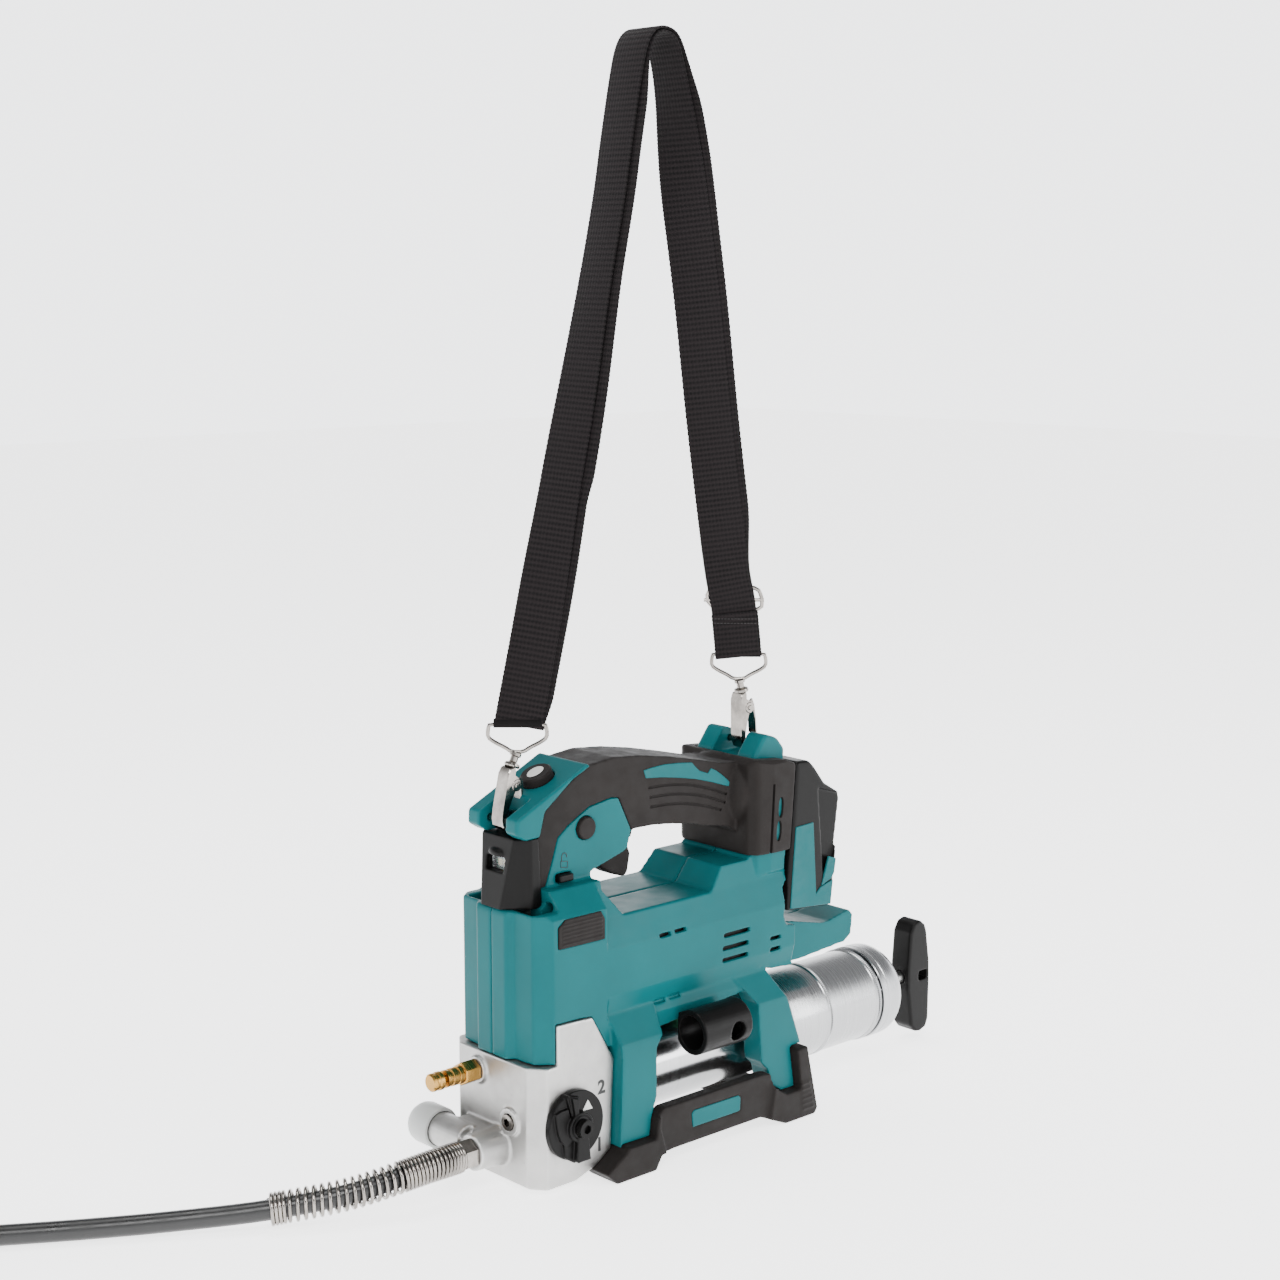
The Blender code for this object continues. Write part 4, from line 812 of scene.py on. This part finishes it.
HEAD_PIECES = (
    ("front_horns", "front_anchor", "teal", 0.7, 7, 0.4, TOOL),
    ("rear_lobes", "rear_anchor", "teal", 0.7, 6, 0.4, TOOL),
    ("trigger_lever", "trigger", "rubber", 0.5, 6, 0.5, "trigger"),
    ("round_lock", "lock_button", "rubber", 0.45, 5, 0.5, "lock_button"),
    ("slide_lock", "lock_slider", "black", 0.4, 3, 0.6, "lock_slider"),
)


def head():
    """The lamp housing and its chips, the strap anchors, the trigger and the buttons."""
    brow = ball("lamp_brow", (4.6, 0.0, 204.8), (2.4, 6.4, 2.4))
    moulding("lamp_housing", "led_bezel", "black", 0.6, 4, 0.4, [brow])
    for i, y in enumerate((-2.6, 2.6)):
        finished(block(f"led_chip_{i}", (10.6, y - 1.6, 195.6), (11.7, y + 1.6, 199.4)), "led")
    for name, node, look, voxel, rounds, ratio, body in HEAD_PIECES:
        moulding(name, node, look, voxel, rounds, ratio, body=body)
    lamp_switch()
    padlock_mark()


def lamp_switch():
    """A dark oval button with a pale oval in its middle."""
    base_at = Vector((38.9, 0.0, 241.5))
    tip = Vector((34.5, 0.0, 251.4))
    axis = (tip - base_at).normalized()
    side = Vector((axis.z, 0.0, -axis.x))
    pieces = []
    for name, radius, rise in (("lamp_switch", 10.0, 0.0), ("lamp_switch_oval", 6.2, 0.55)):
        profile = [(0, 0), (radius, 0), (radius, 7.4 + rise), (radius - 0.9, 8.3 + rise), (0, 8.5 + rise)]
        piece = turned(name, profile, (0, 0, 0), (0, 0, 1))
        squeeze = Matrix.Diagonal((1.0, 0.78, 1.0, 1.0)) if rise else Matrix()
        turn = Matrix((
            (side.x, 0, axis.x, 0), (0, 1, 0, 0), (side.z, 0, axis.z, 0), (0, 0, 0, 1),
        ))
        back = TO_FRAME.inverted()
        piece.data.transform(TO_FRAME @ Matrix.Translation(base_at) @ turn @ squeeze @ back)
        pieces.append(piece)
    finished(pieces[0], "rubber", body="lamp_button", replaced=["lamp_button"])
    finished(pieces[1], "print", body="lamp_button")


def padlock_mark():
    """A plain padlock outline, raised on the side panel above the slider."""
    y = -20.4
    bow = [
        (38.6, 197.4), (38.6, 200.2), (39.4, 201.6), (40.7, 202.1), (42.0, 201.4), (42.6, 200.0),
        (42.6, 199.0),
    ]
    body = [(37.9, 197.2), (43.3, 196.4), (43.1, 192.6), (38.1, 193.4)]
    shackle = wire("padlock_bow", [(x, y, z) for x, z in bow], 0.28, resolution=2)
    frame_line = wire("padlock_body", [(x, y, z) for x, z in body], 0.28, cyclic=True, resolution=2)
    finished(shackle, "ink")
    finished(frame_line, "ink")


# ---- pump end

def pump():
    moulding("cast_block", "pump_block", "aluminium", 0.8, 4, 0.4)
    for name, mark, x, z in (("mark_two", "2", 50.5, 58.5), ("mark_one", "1", 48.7, 22.5)):
        numeral(name, mark, x, z, 8.6)
    dial()
    bleeder()
    relief()
    for node in ("plug_screw", "hose_fitting"):
        soften(node, 0.4)
    moulding("coupler_holder", "hose_holder", "black", 0.6, 4, 0.4)


def numeral(name, mark, x, z, height):
    """A plain printed figure on the block's side."""
    curve = bpy.data.curves.new(name, "FONT")
    curve.body = mark
    curve.size = height * 1.38 * MM
    curve.align_x = "CENTER"
    curve.align_y = "CENTER"
    curve.extrude = 0.03 * MM
    curve.offset = 0.42 * MM
    obj = link(bpy.data.objects.new(name, curve))
    obj.matrix_world = Matrix.Translation(place(x, -42.46, z)) @ Matrix.Rotation(math.pi / 2, 4, "X")
    obj = as_mesh(obj)
    finished(obj, "ink")


def dial():
    """The selector: a disc, a stepped wing, a grip bar and a hub round its screw."""
    x, y, z = DIAL
    disc = turned("dial_disc", [
        (0, 0), (21.0, 0), (21.4, 0.4), (21.4, 3.8), (20.9, 4.4), (0, 4.4),
    ], (x, y, z), (0, -1, 0))
    hub = turned("dial_hub", [
        (0, 0), (9.4, 0), (9.2, 8.8), (8.6, 9.4), (7.4, 9.4), (7.0, 8.8), (6.4, 8.8), (6.0, 9.2), (0, 9.2),
    ], (x, y, z), (0, -1, 0))
    ridge = [(-9.4, 19.6), (-7.6, 20.4), (0.6, 18.0), (-0.6, 6.0), (-5.4, 7.0)]
    ridge_face = [(-6.8, 19.4), (-0.6, 17.2), (-2.2, 6.0), (-4.2, 6.4)]
    wing = [
        (-8.0, 12.4), (-13.6, 12.4), (-17.8, 11.2), (-17.2, 5.0), (-16.0, -1.6), (-13.6, -6.8),
        (-9.4, -11.4), (-5.0, -8.0), (-6.5, 4.0),
    ]
    tail = [(-3.4, -5.0), (5.0, -7.0), (6.4, -21.3), (-3.4, -21.6), (-4.4, -20.0)]
    tail_skirt = [(-7.0, -6.0), (7.2, -7.0), (8.2, -20.4), (-3.6, -22.4), (-10.4, -17.6), (-11.6, -9.6)]
    parts = [disc, hub]
    shapes = (
        ("ridge", ridge, 6.4), ("ridge_face", ridge_face, 8.6), ("wing", wing, 6.6), ("tail", tail, 10.0),
        ("tail_skirt", tail_skirt, 6.4),
    )
    for name, outline, height in shapes:
        parts.append(slab(f"dial_{name}", [(x + u, z + v) for u, v in outline], y - height, y))
    whole = melted(joined("dial_solid", parts), 0.36, 3, 0.35)
    finished(whole, "black", body="speed_dial", replaced=["speed_dial"])
    tip = [(35.3, 56.0), (31.2, 50.1), (38.9, 49.7)]
    arrow = slab("dial_arrow", tip, y - 4.75, y - 4.0)
    finished(arrow, "print", body="speed_dial")
    soften("dial_screw", 0.35)


def bleeder():
    """The brass valve: a hexagon, a waisted neck and the button's flared head."""
    y, z = 12.6, 68.0
    body = rod("bleeder_hex", (-3.3, y, z), (-14.5, y, z), 7.4, 6)
    bevelled(body, 0.6, 3)
    neck = turned("bleeder_throat", [
        (0, 0), (5.6, 0), (5.6, 3.2), (4.9, 3.6), (4.9, 4.6), (5.5, 5.0), (5.5, 8.0), (4.8, 8.4),
        (4.8, 10.4), (5.4, 10.8), (5.4, 12.4), (0, 12.4),
    ], (-14.4, y, z), (-1, 0, 0))
    whole = joined("bleeder_valve", [as_mesh(body), neck])
    finished(whole, "brass", replaced=["bleeder_body"])
    knob = turned("bleeder_head", [
        (0, 0), (4.6, 0), (5.5, 0.8), (5.6, 2.4), (5.0, 3.2), (5.0, 4.6), (5.7, 5.2), (5.7, 7.6),
        (5.2, 8.2), (2.2, 8.3), (2.2, 14.0), (0, 14.0),
    ], (-37.4, y, z), (1, 0, 0))
    finished(knob, "brass", body="bleeder_button", replaced=["bleeder_button"])


def relief():
    cap = turned("relief_dome", [
        (0, 22), (5, 22), (8.4, 21.5), (10.8, 20.2), (12.2, 18), (12.9, 15), (12.9, 1.2), (12.4, 0.2),
        (10.9, 0.2), (10.8, 5.4), (0, 5.4),
    ], (-13.6, 33.0, 27.5), (0, 1, 0))
    finished(cap, "white", replaced=["relief_cap"])


# ---- barrel

def bead(height, width, rise, outer, steps=6):
    """A rolled bead in a turned profile."""
    return [(outer + rise * math.sin(math.pi * i / steps), height + width * (i / steps - 0.5))
            for i in range(steps + 1)]


def barrel():
    """The tube: polished where it shows between the legs, zinc-brushed and beaded behind them."""
    inner = BARREL_R - 1.4
    front = [(inner, 0.5), (BARREL_R, 0.5), (BARREL_R, 160), (inner, 160), (inner, 0.5)]
    tube = turned("barrel_front", front, (BARREL_X, 0, BARREL_Z), (1, 0, 0))
    finished(tube, "polished")
    outer = 31.2
    rear = [(inner, 160), (BARREL_R, 160), (BARREL_R, 163), (30.4, 164), (outer, 166)]
    rear += bead(214.5, 2.2, 0.7, outer)
    rear += [(outer, 218)] + bead(262.5, 2.4, 0.9, outer)
    rear += [(outer, 265), (30.8, 267.4), (BARREL_R, 268), (inner, 268), (inner, 160)]
    sleeve = turned("barrel_sleeve", rear, (BARREL_X, 0, BARREL_Z), (1, 0, 0))
    finished(sleeve, "zinc", replaced=["grease_barrel"])
    for i, height in enumerate((216.1, 264.2)):
        knurl(f"knurl_{i}", BARREL_X + height, outer + 0.15)
    turns = [math.radians(a) for a in range(0, 90, 6)]
    curve = [(CAP_R * math.cos(a), 13 + 19 * math.sin(a)) for a in turns]
    dome = [(r, h) for r, h in curve if r > 5.2]
    cap_profile = [(30.0, 0.4), (CAP_R - 0.5, 0.4), (CAP_R, 0.9), (CAP_R, 5.0), (CAP_R - 0.45, 5.5)]
    cap_profile.append((CAP_R, 6.0))
    cap_profile += dome + [(5.2, 32), (5.2, 29.6), (17, 29.6), (24, 26.5), (30.0, 14), (30.0, 0.4)]
    cap = turned("barrel_end", cap_profile, (CAP_X, 0, BARREL_Z), (1, 0, 0))
    finished(cap, "zinc", replaced=["barrel_cap"])
    moulding("pull_handle", "t_handle", "black", 0.6, 8, 0.4, body="t_handle")


KNURL_TEETH = 150


def knurl(name, x, radius):
    """A rolled line of fine teeth round the sleeve."""
    bm = bmesh.new()
    for i in range(KNURL_TEETH):
        turn = Matrix.Rotation(2 * math.pi * i / KNURL_TEETH, 4, "X")
        matrix = Matrix.Translation((x, 0, BARREL_Z)) @ turn
        matrix = matrix @ Matrix.Translation((0, 0, radius)) @ Matrix.Diagonal((1.5, 0.7, 0.7, 1.0))
        bmesh.ops.create_cube(bm, size=1.0, matrix=matrix @ Matrix.Rotation(math.pi / 4, 4, "X"))
    finished(from_bmesh(name, bm), "zinc")


# ---- battery

def battery():
    """The pack: a dark case with a recess on each side, teal lower panels and a teal tab."""
    recess = block("latch_travel", (240.6, -16.9, 214.6), (275.0, 16.9, 240.0))
    moulding("battery_shell", "battery_case", "black", 0.9, 4, 0.4, cutters=[recess], body="battery")
    panel = [
        (219.2, 136.4), (223.6, 190.4), (240.0, 191.0), (243.4, 142.0), (247.4, 146.0), (259.5, 149.0),
        (257.5, 132.6),
    ]
    tab = [(248.5, 146.6), (257.8, 150.0), (260.6, 153.4), (262.2, 163.0), (255.2, 165.6)]
    for sign, side in SIDES:
        for name, outline in (("panel", panel), ("tab", tab)):
            piece = side_slab(f"{side}_battery_{name}", outline, sign, 36.6, 38.3)
            bevelled(piece, 0.5)
            finished(piece, "teal", body="battery")
    soften("battery_latch", 0.6)


# ---- strap

STRAP_LEFT = [
    (22.5, 279.0), (35.4, 329.3), (46.7, 376.3), (58.0, 423.3), (72.5, 482.1), (84.6, 535.0), (96.7, 587.9),
    (103.2, 623.1), (110.5, 660.0), (115.5, 678.0), (122.0, 686.5),
]
STRAP_RIGHT = [
    (130.5, 688.0), (138.5, 684.0), (144.0, 672.0), (149.7, 647.6), (154.0, 619.3), (158.4, 589.5),
    (168.9, 528.7), (179.8, 454.0), (190.5, 390.0), (196.6, 357.4), (202.2, 335.4), (206.1, 312.0),
    (207.5, 300.5),
]
BAND_PROFILE = [
    (-0.5, -0.3), (-0.47, -0.5), (0.47, -0.5), (0.5, -0.3), (0.5, 0.3), (0.47, 0.5), (-0.47, 0.5),
    (-0.5, 0.3),
]


def between(value, knots):
    """The value at a place, eased from knot to knot of (place, value) pairs."""
    for (a, first), (b, second) in zip(knots, knots[1:]):
        if value <= b:
            share = min(max((value - a) / (b - a), 0.0), 1.0)
            return first + (second - first) * share * share * (3 - 2 * share)
    return knots[-1][1]


def strap_twist(point):
    """Flat to its ring below, and square to the loop's plane where it hangs over its support."""
    if point.x < STRAP_LEG_X:
        return between(point.z, [(279, 0), (330, -8), (425, -30), (560, -47.5)])
    return between(point.z, [(560, 0), (676, -47.5)])


def outer_shift(point):
    if point.x < STRAP_LEG_X:
        return 0.0, 1.15
    return between(point.z, [(350, 0), (400, 4.6), (640, 4.6), (686, 0)]), 1.15


def inner_shift(point):
    if point.x < STRAP_LEG_X:
        knots = [(279, 1.2), (300, 3.4), (410, 4.6), (430, 6.4), (640, 5.2), (684, 0)]
        return between(point.z, knots), -1.4
    return 0.0, -1.15


def band(name, centres, width, thick, shift):
    """A woven band along centres. shift gives its sideways and outward step at a point."""
    points = smooth_path(centres, 1.1)
    bm = bmesh.new()
    layer = bm.loops.layers.uv.new("weave")
    rings, runs, walked = [], [], 0.0
    for i, point in enumerate(points):
        along = heading(points, i)
        across = Matrix.Rotation(math.radians(strap_twist(point)), 3, "Z") @ STRAP_ACROSS
        side = (across - along * across.dot(along)).normalized()
        face = side.cross(along)
        swell = 1.0 + (0.012 if i % 2 else -0.012)
        sideways, outward = shift(point)
        middle = point + side * sideways + face * outward
        rings.append([
            bm.verts.new(middle + side * a * width * swell + face * b * thick) for a, b in BAND_PROFILE
        ])
        if i:
            walked += (points[i] - points[i - 1]).length
        runs.append(walked)
    for made, i, j, k in loft(bm, rings):
        ends = ((j, i), (k, i), (k, i + 1), (j, i + 1))
        for loop, (corner, row) in zip(made.loops, ends):
            loop[layer].uv = (BAND_PROFILE[corner][0] * width, runs[row])
    bmesh.ops.recalc_face_normals(bm, faces=bm.faces)
    return from_bmesh(name, bm)


def strap():
    whole = [(x, 0.0, z) for x, z in STRAP_LEFT + STRAP_RIGHT]
    legs = [
        band("strap_outer", whole, STRAP_WIDTH, STRAP_THICK, outer_shift),
        band("strap_inner", whole, STRAP_WIDTH, STRAP_THICK, inner_shift),
    ]
    sewn = [(x, 0.0, z) for x, z in ((203.6, 329.5), (205.2, 318.0), (206.4, 309.0), (207.6, 300.2))]
    legs.append(band("strap_end", sewn, 30.0, 1.6, lambda point: (0.0, -2.7)))
    for name, middle in (("front", (22.4, 0.0, 280.6)), ("rear", (207.6, 0.0, 302.2))):
        middle = Vector(middle)
        reach = STRAP_ACROSS * 14.4
        legs.append(rod(f"{name}_fold", middle - reach, middle + reach, 2.7, 20))
    finished(joined("strap_webbing", legs), "webbing", replaced=["strap"], angle=50)
    stitches()


def stitches():
    """The rows of thread that sew the rear end loop shut."""
    rows = []
    for k, (x, z) in enumerate(((204.4, 325.4), (204.0, 322.6))):
        for i in range(13):
            middle = Vector((x, 0.0, z)) + STRAP_ACROSS * (-13.0 + 26.0 * i / 12) + STRAP_OUT * 3.5
            points = [middle - STRAP_ACROSS * 0.75, middle + STRAP_OUT * 0.25, middle + STRAP_ACROSS * 0.75]
            rows.append(as_mesh(wire(f"stitch_{k}_{i}", points, 0.28, resolution=2)))
    finished(joined("strap_stitches", rows), "thread")


def round_wire(name, corners, radius, node, softness=2):
    """A closed wire form with eased corners."""
    points = [Vector(c) for c in corners]
    for _ in range(softness):
        softer = []
        for i, p in enumerate(points):
            q = points[(i + 1) % len(points)]
            softer += [p * 0.75 + q * 0.25, p * 0.25 + q * 0.75]
        points = softer
    finished(wire(name, points, radius, cyclic=True), "nickel", replaced=[node])


def ring(name, node, middle, size):
    """The wire loop that the webbing is sewn round; it steps in to the clip's post."""
    middle = Vector(middle)
    half = [(16.4, 0.0), (17.6, -4.0), (17.6, -8.6), (13.4, -11.6), (7.4, -14.6), (3.4, -17.4)]
    shape = half + [(-a, b) for a, b in reversed(half)]
    corners = [middle + STRAP_ACROSS * a + Vector((0, 0, b * size)) for a, b in shape]
    round_wire(name, corners, 1.25, node, 1)


def channel(name, route, width, wall, depths, body, node):
    """A bar bent along a route in the XZ plane. Its two sides fold over to each point's depth."""
    bm = bmesh.new()
    path = [Vector((x, 0.0, z)) for x, z in route]
    rings = []
    for i, point in enumerate(path):
        inward = Vector((0, 1, 0)).cross(heading(path, i))
        depth = max(depths[i], wall * 1.05)
        half, lip = width / 2, width / 2 - wall
        shape = [
            (-half + 0.7, 0), (half - 0.7, 0), (half, 0.7), (half, depth), (lip, depth), (lip, wall),
            (-lip, wall), (-lip, depth), (-half, depth), (-half, 0.7),
        ]
        rings.append([bm.verts.new(point + Vector((0, a, 0)) - inward * b) for a, b in shape])
    loft(bm, rings)
    bmesh.ops.recalc_face_normals(bm, faces=bm.faces)
    finished(from_bmesh(name, bm), "nickel", body=body, replaced=[node], angle=35)


def clip(prefix, top, pin, ring_foot):
    """A swivel snap hook: a post, a channel bent round the pin, and a flat gate on a rivet."""
    top, pin = Vector(top), Vector(pin)
    axis = (top - pin).normalized()
    side = Vector((axis.z, 0, -axis.x))
    hinge = top - axis * 12.0 + side * 2.2

    def spot(out, up):
        at = pin + side * out + axis * up
        return at.x, at.z

    back = [(-1.0, 33.2), (-4.2, 31.8), (-5.8, 28.0), (-6.0, 22.0), (-6.2, 14.0), (-6.4, 6.0), (-6.0, 0.5),
            (-4.6, -3.2), (-1.6, -5.0), (2.0, -4.6), (4.4, -2.6), (5.0, 0.0)]
    depths = [2.0, 5.6, 8.6, 9.0, 6.4, 4.6, 3.6, 2.4, 1.4, 1.4, 1.4, 1.4]
    channel(f"{prefix}_hook", [spot(*p) for p in back], 9.8, 1.4, depths, TOOL, f"{prefix}_clip")
    head = turned(f"{prefix}_swivel", [
        (0, 0), (4.4, 0), (4.9, 0.8), (4.4, 2.2), (2.9, 2.8), (2.4, 3.4), (2.4, 6.2), (3.5, 6.8),
        (3.5, 8.6), (2.6, 9.4), (0, 9.6),
    ], top - axis * 1.6, (Vector(ring_foot) - top).normalized(), 40)
    finished(head, "nickel")
    foot = Vector((*spot(8.4, 3.5), 0)).xzy
    middle = (hinge + foot) / 2
    gate = [hinge + axis * 3.4 + side * 1.2, hinge + side * 3.4, middle + side * 2.6, foot]
    gate = [(p.x, p.z) for p in gate]
    channel(f"{prefix}_latch", gate, 7.0, 1.3, [3.4, 2.6, 1.4, 1.4], f"{prefix}_gate", f"{prefix}_gate")
    for name, radius, reach in (("eye", 3.7, 5.3), ("rivet", 1.7, 6.0)):
        ends = hinge + Vector((0, -reach, 0)), hinge + Vector((0, reach, 0))
        disc = rod(f"{prefix}_{name}", *ends, radius, 32)
        bevelled(disc, 0.5).limit_method = "ANGLE"
        finished(disc, "nickel")


def hardware():
    ring("front_loop", "front_ring", (22.0, 0.0, 280.6), 1.0)
    ring("rear_loop", "rear_ring", (207.8, 0.0, 302.2), 0.98)
    clip("front", (17.5, 0.0, 256.5), (11.0, 0.0, 223.0), (21.0, 0.0, 264.0))
    clip("rear", (210.5, 0.0, 278.0), (212.0, 0.0, 244.0), (208.6, 0.0, 286.0))
    middle = Vector((201.4, 0.0, 338.5))
    slope = Vector((-0.25, 0.0, 1.0))
    corners = []
    for across, up in ((-15.8, -8.6), (17.2, -8.6), (19.6, 0.0), (17.2, 8.6), (-15.8, 8.6)):
        corners.append(middle + STRAP_ACROSS * across + slope * up)
    round_wire("strap_buckle", corners, 1.3, "adjuster_buckle")
    bar = [middle + STRAP_ACROSS * a - slope for a in (-18.4, 20.4)]
    finished(rod("buckle_bar", bar[0], bar[1], 1.2, 20), "nickel")


# ---- CAD nodes kept as they stand

KEPT = {
    "nickel": ["front_anchor_pin", "rear_anchor_pin", "plug_screw", "hose_fitting", "hose_coupler"],
    "steel": [
        "plunger_rod", "follower_spring", "motor_stator", "drive_pinion", "motor_bearing_front",
        "motor_bearing_rear", "drive_gear", "gear_bearing", "pump_plunger",
    ],
    "black": ["switch_body", "follower_piston", "motor_fan", "terminal_block", "dial_screw"],
    "copper": ["motor_rotor"],
    "board": ["led_board", "controller"],
    "lens": ["led_lens"],
    "teal": ["battery_latch"],
}


def kept_nodes():
    for colour, nodes in KEPT.items():
        for node in nodes:
            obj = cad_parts[node]
            obj.data.materials.clear()
            obj.data.materials.append(MATERIALS[colour])


MATERIALS = make_materials()
camera()
hose()
studio()
casing()
grip()
base()
head()
pump()
barrel()
battery()
strap()
hardware()
kept_nodes()
